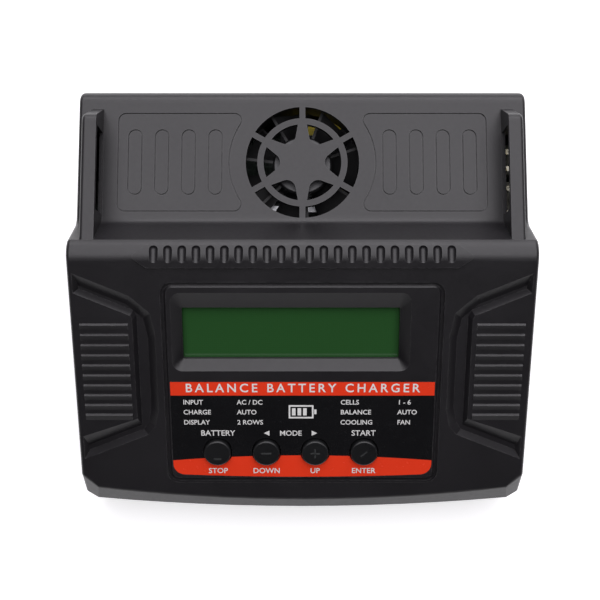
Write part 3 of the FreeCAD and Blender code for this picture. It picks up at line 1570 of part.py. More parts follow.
def power_package(label, x, y, low, turn):
    """A flat transistor package with its mounting tab and three legs."""
    body = make_body(label, Placement(Vector(x, y, low), Rotation(Vector(0, 0, 1), turn)))
    sketch = new_sketch(body, "XZ_Plane")
    rectangle(sketch, -5, 3.4, 5, 12.4)
    pad(body, sketch, 4.4)
    sketch = new_sketch(body, "XZ_Plane", level(3.1))
    rectangle(sketch, -5, 12, 5, 18.6)
    circle(sketch, 0, 15.4, 3.4)
    pad(body, sketch, 1.3)
    sketch = new_sketch(body, "XZ_Plane", level(1.6))
    for leg in (-2.54, 0, 2.54):
        rectangle(sketch, leg - 0.4, 0, leg + 0.4, 3.6)
    pad(body, sketch, 0.7)
    return body


node(power_board())
for piece in transformer():
    node(piece)
node(power_heatsink())
low = float(BOARD_TOP)
node(group("power_transistors", [
    power_package(f"power_transistor_{i}", x, 35.45, low, 0) for i, x in enumerate((-8, 8))
]))
node(can("bulk_capacitor", -42, 50, low, 18, 25))
node(group("output_capacitors", [
    can(f"output_capacitor_{i}", x, 3, low, 8, 12) for i, x in enumerate((-26, -15, -4))
]))
node(ring("mains_choke", upright(-38, 22, low), 20, 9, 9))


# ---------------------------------------------------------------- charging board

def main_board():
    holes = [(x, y, 2.6) for x, y in MAIN_SCREWS]
    holes.append((D["screw_x"], D["screw_rear_y"], 9.2))
    return plate("main_board", corners_of(21, -37, 62, 61), holes, D["board_height"],
                 D["board_thickness"])


def finned_block(label, x_low, y_low, x_high, y_high, low, high):
    """A heat sink: base plate with upright fins along Y."""
    body = make_body(label, upright(0, 0, low))
    sketch = new_sketch(body, "XY_Plane")
    rectangle(sketch, x_low, y_low, x_high, y_high)
    pad(body, sketch, 2.6)
    count = 7
    pitch = (x_high - x_low - 1.0) / (count - 1)
    sketch = new_sketch(body, "XY_Plane", level(2.4))
    for i in range(count):
        start = x_low + i * pitch
        rectangle(sketch, start, y_low, start + 1.0, y_high)
    pad(body, sketch, high - low - 2.4)
    return body


def flat_package(label, x, y, low):
    """A surface-mounted transistor package with a metal tab."""
    body = make_body(label, upright(x, y, low))
    sketch = new_sketch(body, "XY_Plane")
    rectangle(sketch, -4.5, -4.5, 4.5, 4.5)
    pad(body, sketch, 4.4)
    sketch = new_sketch(body, "XY_Plane")
    rectangle(sketch, -4.5, 4, 4.5, 7)
    rectangle(sketch, -3.2, -7, -1.9, -4)
    rectangle(sketch, 1.9, -7, 3.2, -4)
    pad(body, sketch, 1.2)
    return body


def header(label, x, y, low, pins, turn=0):
    """A white board connector: a box with a keyed mouth on top."""
    body = make_body(label, Placement(Vector(x, y, low), Rotation(Vector(0, 0, 1), turn)))
    half = (2.0 * (pins - 1) + 4.4) / 2
    sketch = new_sketch(body, "XY_Plane")
    rectangle(sketch, -half, -2.3, half, 2.3)
    pad(body, sketch, 6.6)
    sketch = new_sketch(body, "XY_Plane", level(6.6))
    rectangle(sketch, -half + 0.7, -1.6, half - 0.7, 1.6)
    rectangle(sketch, -0.9, -2.6, 0.9, -1.6)
    pocket(body, sketch, 5.2)
    return body


node(main_board())
node(finned_block("main_heatsink", 24, 22, 50, 46, float(BOARD_TOP) + 4.45, 31.0))
node(group("output_transistors", [
    flat_package(f"output_transistor_{i}", x, y, low)
    for i, (x, y) in enumerate(((30, 29), (42, 29), (30, 41), (42, 41)))
]))
node(ring("power_inductor", upright(36, 5, low), 20, 8, 8.5))
node(can("buzzer", 32, -14, low, 12, 8.5))
node(group("board_connectors", [
    header("fan_connector", 12.5, 19, low, 4), header("link_connector", 3.5, 11, low, 4),
]))
node(group("board_screws", [
    screw(f"board_screw_{i}", upright(x, y, BOARD_TOP + 1.4, up=False),
          D["small_screw"], 4.6, 4.2, 1.4)
    for i, (x, y) in enumerate(POWER_SCREWS + MAIN_SCREWS)
]))


# ---------------------------------------------------------------- sockets on the left wall

FLUSH = 0.2  # port faces below the wall's outer face


def wall_place(side, y, z):
    """A placement on a side wall's outer face: x along Y, y up, z out of the case."""
    sign = SIDES[side]
    turn = Rotation(Vector(0, sign, 0), Vector(0, 0, 1), Vector(sign, 0, 0), "ZXY")
    return Placement(Vector(sign * (float(HALF_WIDTH) - FLUSH), float(y), float(z)), turn)


def ac_inlet():
    """A two-pole mains inlet: oval mouth, inner flange and a foot on the board."""
    body = make_body("ac_inlet", wall_place("left", D["inlet_y"], D["inlet_z"]))
    half_x, half_y = D["inlet_width"] / 2, D["inlet_height"] / 2
    sketch = new_sketch(body, "XY_Plane")
    sketch.addGeometry(rounded([(x, y, 1.2) for x, y in
                                corners_of(-half_x, -half_y, half_x, half_y)]), False)
    pad(body, sketch, 15.0, reverse=True)
    sketch = new_sketch(body, "XY_Plane", level(-(float(D["wall"]) + 0.1)))
    rectangle(sketch, -half_x - 1.5, -half_y - 1.5, half_x + 1.5, half_y + 1.5)
    pad(body, sketch, 2.0, reverse=True)
    sketch = new_sketch(body, "XY_Plane", level(-8.0))
    rectangle(sketch, -half_x, BOARD_TOP - D["inlet_z"], half_x, 0)
    pad(body, sketch, 7.0, reverse=True)
    sketch = new_sketch(body, "XY_Plane")
    sketch.addGeometry(rounded([(x, y, 3.4) for x, y in corners_of(-7.2, -3.9, 7.2, 3.9)]), False)
    pocket(body, sketch, 12.0)
    sketch = new_sketch(body, "XY_Plane", level(-11.0))
    for x in (-4.3, 4.3):
        circle(sketch, x, 0, 2.4 + 2 * GAP)
    pocket(body, sketch, 5.0)
    return body


def dc_jack():
    """A round low voltage socket in a square housing."""
    body = make_body("dc_jack", wall_place("left", D["jack_y"], D["jack_z"]))
    sketch = new_sketch(body, "XY_Plane")
    circle(sketch, 0, 0, 9.0)
    pad(body, sketch, 4.0, reverse=True)
    sketch = new_sketch(body, "XY_Plane", level(-(float(D["wall"]) + 0.1)))
    rectangle(sketch, -5.5, BOARD_TOP - D["jack_z"], 5.5, 5.5)
    pad(body, sketch, 12.0, reverse=True)
    sketch = new_sketch(body, "XY_Plane")
    circle(sketch, 0, 0, 6.4)
    pocket(body, sketch, 9.5)
    sketch = new_sketch(body, "XY_Plane", level(-9.0))
    circle(sketch, 0, 0, 2.1 + 2 * GAP)
    pocket(body, sketch, 6.0)
    return body


def rod(label, placement, diameter, start, length):
    """A round pin along a placement's z axis, from a depth behind its face."""
    return cylinder(label, Dim(diameter, str(diameter)), (0, 0, -start - length),
                    Dim(length, str(length)), placement=placement)


node(ac_inlet())
node(group("ac_inlet_pins", [
    rod(f"ac_pin_{i}", wall_place("left", D["inlet_y"] - x, D["inlet_z"]), 2.4, 3.0, 12.5)
    for i, x in enumerate((-4.3, 4.3))
]))
node(dc_jack())
node(rod("dc_jack_pin", wall_place("left", D["jack_y"], D["jack_z"]), 2.1, 2.0, 12.0))


# ---------------------------------------------------------------- sockets on the right wall

SLEEVE = 6.4


def output_socket(colour, y):
    """A safety socket: insulating barrel with an inner flange."""
    body = make_body(f"output_socket_{colour}", wall_place("right", y, D["output_z"]))
    sketch = new_sketch(body, "XY_Plane")
    circle(sketch, 0, 0, D["output_diameter"])
    pad(body, sketch, 19.0, reverse=True)
    sketch = new_sketch(body, "XY_Plane", level(-(float(D["wall"]) + 0.1)))
    circle(sketch, 0, 0, 13.6)
    pad(body, sketch, 1.8, reverse=True)
    sketch = new_sketch(body, "XY_Plane")
    circle(sketch, 0, 0, SLEEVE + 2 * GAP)
    pocket(body, sketch, 20.0)
    return body


def output_contact(colour, y):
    """The metal sleeve of an output socket, with a solder tail."""
    body = make_body(f"output_contact_{colour}", wall_place("right", y, D["output_z"]))
    sketch = new_sketch(body, "XY_Plane", level(-1.5))
    circle(sketch, 0, 0, SLEEVE)
    pad(body, sketch, 18.0, reverse=True)
    sketch = new_sketch(body, "XY_Plane", level(-1.5))
    circle(sketch, 0, 0, D["output_bore"])
    pocket(body, sketch, 16.0)
    sketch = new_sketch(body, "XY_Plane", level(-19.3))
    rectangle(sketch, -1.6, -0.4, 1.6, 0.4)
    pad(body, sketch, 4.0, reverse=True)
    return body


BALANCE_FACE = 8.3  # length of a balance socket from its mouth to its board


def balance_socket(name):
    """A white keyed socket for one pack size."""
    y, z = PLACES[name]
    pins = BALANCE_CELLS[name]
    body = make_body(f"balance_socket_{name}", wall_place("right", y, z))
    half_x, half_y = balance_length(pins) / 2, D["balance_depth"] / 2
    sketch = new_sketch(body, "XY_Plane")
    rectangle(sketch, -half_x, -half_y, half_x, half_y)
    pad(body, sketch, BALANCE_FACE, reverse=True)
    sketch = new_sketch(body, "XY_Plane")
    rectangle(sketch, -half_x + 0.8, -half_y + 0.8, half_x - 0.8, half_y - 0.8)
    pocket(body, sketch, 7.0)
    sketch = new_sketch(body, "XY_Plane")
    for sign in (-1, 1):
        x_low, x_high = sorted((sign * (float(half_x) - 1.4), sign * (float(half_x) - 3.0)))
        rectangle(sketch, x_low, half_y - 1.2, x_high, half_y + 0.2)
    pocket(body, sketch, 5.0)
    sketch = new_sketch(body, "XY_Plane", level(-6.5))
    for i in range(pins):
        x = (i - (pins - 1) / 2) * D["pin_pitch"]
        rectangle(sketch, x - 0.37, -0.37, x + 0.37, 0.37)
    pocket(body, sketch, 3.0)
    return body


def balance_pins(name):
    """The square pins of one balance socket, through the socket and its board."""
    y, z = PLACES[name]
    pins = BALANCE_CELLS[name]
    place = wall_place("right", y, z)
    solids = []
    for i in range(pins):
        x = (i - (pins - 1) / 2) * D["pin_pitch"]
        solids.append(box(f"balance_pin_{name}_{i}", (x - 0.32, Dim(-0.32, "-0.32"), -11.2),
                          (x + 0.32, Dim(0.32, "0.32"), Dim(-1.8, "-1.8")), place))
    return solids


def balance_board():
    """The upright board behind the balance sockets."""
    face = float(HALF_WIDTH) - FLUSH - BALANCE_FACE
    body = make_body("balance_board")
    sketch = new_sketch(body, "YZ_Plane", level(face))
    rectangle(sketch, 8, BOARD_TOP, 50.6, 31)
    pad(body, sketch, D["board_thickness"], reverse=True)
    sketch = new_sketch(body, "YZ_Plane", level(face))
    for name, (y, z) in PLACES.items():
        pins = BALANCE_CELLS[name]
        for i in range(pins):
            circle(sketch, y + (i - (pins - 1) / 2) * D["pin_pitch"], z, 1.0)
    pocket(body, sketch, D["board_thickness"] + 1)
    return body


for colour, y in OUTPUTS.items():
    node(output_socket(colour, y))
node(group("output_contacts", [output_contact(colour, y) for colour, y in OUTPUTS.items()]))
for name in BALANCE_CELLS:
    node(balance_socket(name))
node(group("balance_pins", [pin for name in BALANCE_CELLS for pin in balance_pins(name)]))
node(balance_board())


# ---------------------------------------------------------------- write every node

doc.recompute()
os.makedirs("parts", exist_ok=True)
for item in doc.Objects:
    if any(word in item.State for word in ("Invalid", "Error")):
        raise RuntimeError(f"{item.Name}: {item.State}")
for label, thing in NODES.items():
    if thing.Shape.isNull() or not thing.Shape.isValid():
        raise RuntimeError(f"{label} has a bad shape")
    thing.Shape.exportStep(f"parts/{label}.step")
print(f"{len(NODES)} nodes written")
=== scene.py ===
import json
import math

import bmesh
import bpy
from mathutils import Matrix, Vector

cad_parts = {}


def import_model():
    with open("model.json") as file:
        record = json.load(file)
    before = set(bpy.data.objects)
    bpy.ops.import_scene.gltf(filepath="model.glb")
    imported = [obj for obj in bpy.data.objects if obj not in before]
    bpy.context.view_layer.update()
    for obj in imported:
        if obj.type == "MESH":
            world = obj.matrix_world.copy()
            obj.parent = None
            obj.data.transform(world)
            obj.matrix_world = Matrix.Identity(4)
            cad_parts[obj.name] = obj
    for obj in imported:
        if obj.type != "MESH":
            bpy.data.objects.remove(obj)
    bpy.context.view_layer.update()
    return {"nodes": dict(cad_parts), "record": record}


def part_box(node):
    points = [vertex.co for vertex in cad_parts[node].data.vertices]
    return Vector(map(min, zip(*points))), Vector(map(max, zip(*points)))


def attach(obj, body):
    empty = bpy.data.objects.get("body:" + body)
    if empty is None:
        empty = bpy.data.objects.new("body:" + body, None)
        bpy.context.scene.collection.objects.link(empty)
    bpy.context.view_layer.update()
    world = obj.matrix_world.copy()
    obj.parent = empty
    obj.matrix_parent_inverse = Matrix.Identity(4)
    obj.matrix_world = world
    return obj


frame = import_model()

MM = 0.001
CASE = "case"
KEYS = ("stop", "down", "up", "enter")

# The control panel: its slope, and the ridge point that distances down it start from.
SLOPE = math.radians(25)
RIDGE = Vector((0, 11.7 * MM, 60.7 * MM))
PANEL = Matrix.Translation(RIDGE) @ Matrix.Rotation(SLOPE, 4, "X")
FAN_AXIS = Vector((0, 41.4 * MM, 0))


# ---------------------------------------------------------------- shader helpers

class Nodes:
    """A material's node tree with short ways to add and join nodes."""

    def __init__(self, name):
        self.material = bpy.data.materials.new(name)
        self.material.use_nodes = True
        self.tree = self.material.node_tree
        self.shader = self.tree.nodes["Principled BSDF"]
        self.place = self.add("ShaderNodeTexCoord").outputs["Object"]

    def add(self, kind, **values):
        node = self.tree.nodes.new(kind)
        for key, value in values.items():
            setattr(node, key, value)
        return node

    def join(self, source, target):
        if hasattr(source, "links"):
            self.tree.links.new(source, target)
        else:
            target.default_value = source

    def math(self, operation, a, b=0.0, clamp=False):
        node = self.add("ShaderNodeMath", operation=operation, use_clamp=clamp)
        self.join(a, node.inputs[0])
        self.join(b, node.inputs[1])
        return node.outputs[0]

    def noise(self, scale, detail=3.0, rough=0.5, vector=None):
        node = self.add("ShaderNodeTexNoise")
        node.inputs["Scale"].default_value = scale
        node.inputs["Detail"].default_value = detail
        node.inputs["Roughness"].default_value = rough
        self.join(vector or self.place, node.inputs["Vector"])
        return node.outputs["Fac"]

    def ramp(self, value, low, high, out_low=0.0, out_high=1.0):
        node = self.add("ShaderNodeMapRange")
        for key, number in (("From Min", low), ("From Max", high), ("To Min", out_low),
                            ("To Max", out_high)):
            node.inputs[key].default_value = number
        self.join(value, node.inputs["Value"])
        return node.outputs["Result"]

    def mix(self, factor, a, b):
        node = self.add("ShaderNodeMix", data_type="RGBA")
        self.join(factor, node.inputs["Factor"])
        for value, slot in ((a, 6), (b, 7)):
            self.join(value if hasattr(value, "links") else (*value, 1.0), node.inputs[slot])
        return node.outputs[2]

    def bump(self, height, strength, distance, normal=None):
        node = self.add("ShaderNodeBump")
        node.inputs["Strength"].default_value = strength
        node.inputs["Distance"].default_value = distance
        self.join(height, node.inputs["Height"])
        if normal is not None:
            self.join(normal, node.inputs["Normal"])
        return node.outputs["Normal"]

    def set(self, name, value):
        self.join(value, self.shader.inputs[name])


def edge_mask(nodes, radius=0.4 * MM):
    """Near 1 on sharp edges: where a rounded normal differs from the true one."""
    bevel = nodes.add("ShaderNodeBevel", samples=4)
    bevel.inputs["Radius"].default_value = radius
    true_normal = nodes.add("ShaderNodeNewGeometry").outputs["Normal"]
    dot = nodes.add("ShaderNodeVectorMath", operation="DOT_PRODUCT")
    nodes.join(bevel.outputs["Normal"], dot.inputs[0])
    nodes.join(true_normal, dot.inputs[1])
    return nodes.ramp(dot.outputs["Value"], 0.985, 0.86)


def plastic(name, colour, rough=0.42, grain=2600.0, relief=0.35, specular=0.5, wear=0.06):
    """Moulded plastic: spark-eroded grain, faint blotches and paler edges."""
    nodes = Nodes(name)
    blotch = nodes.noise(38.0, 4.0)
    fine = nodes.noise(900.0, 2.0)
    dark = tuple(c * 0.86 for c in colour)
    light = tuple(min(1.0, c * 1.16) for c in colour)
    tone = nodes.mix(nodes.ramp(blotch, 0.3, 0.7), dark, light)
    if wear > 0:
        worn = nodes.math("MULTIPLY", edge_mask(nodes), nodes.ramp(fine, 0.35, 0.75))
        pale = tuple(min(1.0, c + wear) for c in colour)
        tone = nodes.mix(worn, tone, pale)
    nodes.set("Base Color", tone)
    nodes.set("Roughness", nodes.ramp(nodes.math("ADD", blotch, fine), 0.6, 1.4,
                                      rough - 0.05, rough + 0.06))
    nodes.shader.inputs["Specular IOR Level"].default_value = specular
    nodes.set("Normal", nodes.bump(nodes.noise(grain, 2.0, 0.6), relief, 0.05 * MM))
    return nodes.material


def rubber(name, colour):
    nodes = Nodes(name)
    dust = nodes.noise(300.0, 5.0)
    nodes.set("Base Color", nodes.mix(nodes.ramp(dust, 0.45, 0.8), colour,
                                      tuple(c + 0.03 for c in colour)))
    nodes.set("Roughness", nodes.ramp(dust, 0.3, 0.7, 0.72, 0.9))
    nodes.set("Normal", nodes.bump(nodes.noise(1500.0, 3.0), 0.4, 0.05 * MM))
    return nodes.material


def metal(name, colour, rough=0.3, streak=(1, 1, 30), relief=0.15):
    """Drawn or plated metal with fine streaks and dull patches."""
    nodes = Nodes(name)
    stretch = nodes.add("ShaderNodeMapping")
    stretch.inputs["Scale"].default_value = streak
    nodes.join(nodes.place, stretch.inputs["Vector"])
    lines = nodes.noise(600.0, 4.0, 0.6, stretch.outputs["Vector"])
    patches = nodes.noise(120.0, 3.0)
    nodes.set("Base Color", nodes.mix(nodes.ramp(patches, 0.3, 0.75),
                                      tuple(c * 0.8 for c in colour), colour))
    nodes.shader.inputs["Metallic"].default_value = 1.0
    nodes.set("Roughness", nodes.ramp(lines, 0.3, 0.7, rough - 0.08, rough + 0.12))
    nodes.set("Normal", nodes.bump(lines, relief, 0.03 * MM))
    return nodes.material


def circuit_board(name, colour):
    """Solder mask over tracks: raised paths, pads and a slight gloss change."""
    nodes = Nodes(name)
    cells = nodes.add("ShaderNodeTexVoronoi", feature="DISTANCE_TO_EDGE", distance="CHEBYCHEV")
    cells.inputs["Scale"].default_value = 260.0
    nodes.join(nodes.place, cells.inputs["Vector"])
    track = nodes.ramp(cells.outputs["Distance"], 0.05, 0.09)
    bright = tuple(min(1.0, c * 1.7 + 0.01) for c in colour)
    nodes.set("Base Color", nodes.mix(track, bright, colour))
    nodes.set("Roughness", nodes.ramp(nodes.noise(80.0), 0.3, 0.7, 0.28, 0.4))
    nodes.set("Normal", nodes.bump(track, 0.5, -0.05 * MM))
    return nodes.material


def down_slope(nodes):
    """Distance down the panel from the ridge, in metres, as a node output."""
    shift = nodes.add("ShaderNodeVectorMath", operation="SUBTRACT")
    nodes.join(nodes.place, shift.inputs[0])
    shift.inputs[1].default_value = RIDGE
    along = nodes.add("ShaderNodeVectorMath", operation="DOT_PRODUCT")
    nodes.join(shift.outputs["Vector"], along.inputs[0])
    along.inputs[1].default_value = (0, -math.cos(SLOPE), -math.sin(SLOPE))
    return along.outputs["Value"]


LABEL_RED = (0.8, 0.045, 0.014)
LABEL_GREY = (0.006, 0.006, 0.0068)
BAR_END = 45.8 * MM  # front edge of the upper red bar
BAND_START = 66.0 * MM  # back edge of the lower red band at its middle
BAND_BOW = 1.7 * MM  # how much further forward that edge is at the sides
LABEL_HALF = 40 * MM


def label_material():
    """Printed film: grey field, a red bar behind it and a bowed red band in front."""
    nodes = Nodes("printed_label")
    down = down_slope(nodes)
    axes = nodes.add("ShaderNodeSeparateXYZ")
    nodes.join(nodes.place, axes.inputs[0])
    side = nodes.math("DIVIDE", axes.outputs["X"], LABEL_HALF)
    bow = nodes.math("MULTIPLY", nodes.math("MULTIPLY", side, side), BAND_BOW)
    start = nodes.math("ADD", bow, BAND_START)
    soft = 0.06 * MM
    bar = nodes.ramp(down, BAR_END + soft, BAR_END - soft)
    band = nodes.ramp(nodes.math("SUBTRACT", down, start), -soft, soft)
    red = nodes.math("MAXIMUM", bar, band)
    mottle = nodes.noise(60.0, 4.0)
    grey = nodes.mix(mottle, tuple(c * 0.85 for c in LABEL_GREY),
                     tuple(c * 1.2 for c in LABEL_GREY))
    ink = nodes.mix(mottle, tuple(c * 0.94 for c in LABEL_RED),
                    tuple(min(1, c * 1.05) for c in LABEL_RED))
    nodes.set("Base Color", nodes.mix(red, grey, ink))
    nodes.set("Roughness", nodes.ramp(nodes.noise(500.0, 3.0), 0.3, 0.7, 0.2, 0.28))
    nodes.set("Normal", nodes.bump(nodes.noise(3200.0, 2.0), 0.25, 0.03 * MM))
    return nodes.material


def display_material():
    """Green display glass with a faint grid of cells over its whole face."""
    nodes = Nodes("display_glass")
    base = (0.02, 0.078, 0.02)
    cells = nodes.add("ShaderNodeTexBrick")
    cells.offset = 0.0
    for key, number in (("Scale", 1.0), ("Mortar Size", 0.05 * MM), ("Brick Width", 0.6 * MM),
                        ("Row Height", 0.6 * MM)):
        cells.inputs[key].default_value = number
    cells.inputs["Color1"].default_value = (*base, 1)
    cells.inputs["Color2"].default_value = (*(c * 0.97 for c in base), 1)
    cells.inputs["Mortar"].default_value = (*(c * 1.12 for c in base), 1)
    nodes.join(nodes.place, cells.inputs["Vector"])
    nodes.set("Base Color", cells.outputs["Color"])
    nodes.set("Roughness", nodes.ramp(nodes.noise(30.0, 2.0), 0.3, 0.7, 0.02, 0.04))
    nodes.shader.inputs["Specular IOR Level"].default_value = 0.8
    nodes.set("Normal", nodes.bump(nodes.noise(12.0, 1.0), 0.02, 0.2 * MM))
    return nodes.material


def ink(name, colour):
    nodes = Nodes(name)
    wear = nodes.noise(1400.0, 3.0)
    nodes.set("Base Color", nodes.mix(nodes.ramp(wear, 0.3, 0.9), colour,
                                      tuple(c * 0.8 for c in colour)))
    nodes.set("Roughness", nodes.ramp(wear, 0.3, 0.7, 0.45, 0.6))
    nodes.set("Normal", nodes.bump(wear, 0.1, 0.02 * MM))
    return nodes.material


def wound(name, colour, pitch):
    """Tape or wire in turns: fine bands around the piece."""
    nodes = Nodes(name)
    wave = nodes.add("ShaderNodeTexWave", bands_direction="Z")
    wave.inputs["Scale"].default_value = 1.0 / pitch / 6.3
    wave.inputs["Distortion"].default_value = 0.6
    nodes.join(nodes.place, wave.inputs["Vector"])
    nodes.set("Base Color", nodes.mix(wave.outputs["Fac"], tuple(c * 0.75 for c in colour), colour))
    nodes.set("Roughness", nodes.ramp(nodes.noise(200.0), 0.3, 0.7, 0.2, 0.35))
    nodes.set("Normal", nodes.bump(wave.outputs["Fac"], 0.4, 0.1 * MM))
    return nodes.material


CASE_COLOUR = (0.0098, 0.009, 0.0105)
MATERIALS = {
    "case_plastic": plastic("case_plastic", CASE_COLOUR, rough=0.40),
    "label_print": label_material(),
    "key_plastic": plastic("key_plastic", (0.0085, 0.0088, 0.0095), rough=0.3, relief=0.2),
    "foot_rubber": rubber("foot_rubber", (0.02, 0.02, 0.02)),
    "screw_steel": metal("screw_steel", (0.62, 0.62, 0.6), 0.35),
    "shaft_steel": metal("shaft_steel", (0.7, 0.7, 0.7), 0.2),
    "switch_plastic": plastic("switch_plastic", (0.015, 0.015, 0.015), rough=0.3, wear=0.0),
    "dark_plastic": plastic("dark_plastic", (0.02, 0.02, 0.02), rough=0.45),
    "fan_plastic": plastic("fan_plastic", (0.007, 0.007, 0.0075), rough=0.45, relief=0.2, specular=0.3,
                           wear=0.0),
    "display_glass": display_material(),
    "display_frame": metal("display_frame", (0.05, 0.05, 0.05), 0.45),
    "board_green": circuit_board("board_green", (0.004, 0.02, 0.009)),
    "bearing_bronze": metal("bearing_bronze", (0.6, 0.4, 0.2), 0.4),
    "copper_coil": wound("copper_coil", (0.62, 0.24, 0.08), 0.3 * MM),
    "ferrite": rubber("ferrite", (0.05, 0.05, 0.055)),
    "yellow_tape": wound("yellow_tape", (0.78, 0.62, 0.06), 3.2 * MM),
    "capacitor_sleeve": plastic("capacitor_sleeve", (0.02, 0.025, 0.06), rough=0.25, wear=0.0),
    "heatsink_aluminium": metal("heatsink_aluminium", (0.72, 0.73, 0.75), 0.4),
    "white_nylon": plastic("white_nylon", (0.72, 0.7, 0.6), rough=0.45, wear=0.0),
    "red_plastic": plastic("red_plastic", (0.5, 0.015, 0.012), rough=0.3),
    "contact_metal": metal("contact_metal", (0.85, 0.7, 0.42), 0.25),
    "white_ink": ink("white_ink", (0.78, 0.78, 0.76)),
    "mark_ink": ink("mark_ink", (0.05, 0.054, 0.054)),
    # hub_label: a paler grey than the fan plastic, painted sheen for the reflection on the hub top
    "hub_label": plastic("hub_label", (0.04, 0.04, 0.043), rough=0.35, wear=0.0),
}

slots = {entry["node"]: entry["material_slot"] for entry in frame["record"]["subparts"]}
for name, thing in frame["nodes"].items():
    material = MATERIALS[slots[name]]
    if not thing.data.materials:
        thing.data.materials.append(material)
    for index in range(len(thing.material_slots)):
        thing.material_slots[index].material = material


# ---------------------------------------------------------------- pieces

def piece(name, mesh, material, body=CASE):
    """A new mesh piece in the row frame that rides on a body."""
    thing = bpy.data.objects.new(name, mesh)
    bpy.context.scene.collection.objects.link(thing)
    mesh.materials.clear()
    mesh.materials.append(MATERIALS[material])
    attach(thing, body)
    return thing


def mesh_from(name, build):
    """A mesh made by a function that fills a bmesh."""
    shape = bmesh.new()
    build(shape)
    bmesh.ops.recalc_face_normals(shape, faces=shape.faces)
    mesh = bpy.data.meshes.new(name)
    shape.to_mesh(mesh)
    shape.free()
    return mesh


def solid_outline(shape, outlines, height, place):
    """Closed prisms from plane outlines, in a placement's frame."""
    for outline in outlines:
        low = [shape.verts.new(place @ Vector((x, y, 0))) for x, y in outline]
        high = [shape.verts.new(place @ Vector((x, y, height))) for x, y in outline]
        shape.faces.new(low[::-1])
        shape.faces.new(high)
        for i in range(len(low)):
            j = (i + 1) % len(low)
            shape.faces.new((low[i], low[j], high[j], high[i]))


def panel_place(x, down, lift=0.0):
    """A frame on the panel, x along the case, y up the slope."""
    return PANEL @ Matrix.Translation((x, -down, lift))


def lettering(name, words, size, place, material="white_ink", align="LEFT", body=CASE,
              thickness=0.03 * MM, spacing=1.0):
    """Thin raised lettering as a mesh."""
    curve = bpy.data.curves.new(name, "FONT")
    curve.body = words
    curve.size = size
    curve.align_x = align
    curve.space_character = spacing
    curve.extrude = thickness / 2
    curve.offset = size * 0.012
    curve.resolution_u = 3
    holder = bpy.data.objects.new(name, curve)
    bpy.context.scene.collection.objects.link(holder)
    bpy.context.view_layer.update()
    mesh = bpy.data.meshes.new_from_object(holder)
    bpy.data.objects.remove(holder)
    mesh.transform(place @ Matrix.Translation((0, 0, thickness / 2)))
    return piece(name, mesh, material, body)


def rectangle(x_low, y_low, x_high, y_high):
    return [(x_low, y_low), (x_high, y_low), (x_high, y_high), (x_low, y_high)]


INK_LIFT = 0.01 * MM
INK_HEIGHT = 0.03 * MM


def printed(name, outlines, x, down):
    """White printed shapes on the label."""
    place = panel_place(x, down, INK_LIFT)
    mesh = mesh_from(name, lambda shape: solid_outline(shape, outlines, INK_HEIGHT, place))
    return piece(name, mesh, "white_ink")


def arrow(size, sign):
    return [(-sign * size, -size), (-sign * size, size), (sign * size, 0)][::sign]


def label_graphics():
    """Generic words, arrows and a cell sign on the label."""
    lettering("label_title", "BALANCE BATTERY CHARGER", 3.95 * MM,
              panel_place(0, 44.65 * MM, INK_LIFT), align="CENTER", spacing=1.4)
    rows = ((48.0, "INPUT", "AC / DC", "CELLS", "1 - 6"),
            (51.3, "CHARGE", "AUTO", "BALANCE", "AUTO"),
            (54.7, "DISPLAY", "2 ROWS", "COOLING", "FAN"))
    for index, (down, left, left_value, right, right_value) in enumerate(rows):
        down = (down + 0.75) * MM
        size = 2.15 * MM
        for part, words, x in (("a", left, -36.4), ("b", left_value, -20.0), ("c", right, 11.6),
                               ("d", right_value, 29.0)):
            lettering(f"label_row_{index}_{part}", words, size, panel_place(x * MM, down, INK_LIFT))
    legends = ((-26.0, "BATTERY", 2.55), (-3.6, "MODE", 2.4), (18.8, "START", 2.55))
    for index, (x, words, size) in enumerate(legends):
        lettering(f"label_legend_{index}", words, size * MM,
                  panel_place(x * MM, 59.2 * MM, INK_LIFT), align="CENTER")
    printed("label_arrow_left", [arrow(0.85 * MM, -1)], -11 * MM, 58.4 * MM)
    printed("label_arrow_right", [arrow(0.85 * MM, 1)], 3.7 * MM, 58.4 * MM)
    for name, words, x in zip(KEYS, ("STOP", "DOWN", "UP", "ENTER"), KEY_X):
        lettering(f"label_key_{name}", words, 2.5 * MM, panel_place(x, 72.1 * MM, INK_LIFT),
                  align="CENTER")
    cell = [rectangle(-4.2 * MM, -2.2 * MM, 3.4 * MM, -1.7 * MM),
            rectangle(-4.2 * MM, 1.7 * MM, 3.4 * MM, 2.2 * MM),
            rectangle(-4.2 * MM, -1.7 * MM, -3.7 * MM, 1.7 * MM),
            rectangle(2.9 * MM, -1.7 * MM, 3.4 * MM, 1.7 * MM),
            rectangle(3.6 * MM, -0.8 * MM, 4.3 * MM, 0.8 * MM)]
    cell += [rectangle(x * MM, -1.2 * MM, (x + 1.1) * MM, 1.2 * MM) for x in (-3.2, -1.5, 0.2)]
    printed("label_cell_sign", cell, 0, 51.2 * MM)


def node_middle(name):
    low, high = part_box(name)
    return (Vector(low) + Vector(high)) / 2


KEY_X = [node_middle(f"button_{name}").x for name in KEYS]
KEY_DOWN = 64.7 * MM
KEY_RISE = 1.5 * MM
MARKS = {
    "stop": [rectangle(-1.05, -1.96, 1.05, -1.64)],
    "down": [rectangle(-1.45, -0.16, 1.45, 0.16)],
    "up": [rectangle(-1.45, -0.16, 1.45, 0.16), rectangle(-0.16, -1.45, 0.16, -0.39),
           rectangle(-0.16, 0.39, 0.16, 1.45)],
    "enter": [[(-1.1, -0.9), (-0.95, -1.08), (1.08, 0.55), (0.94, 0.73)]],
}


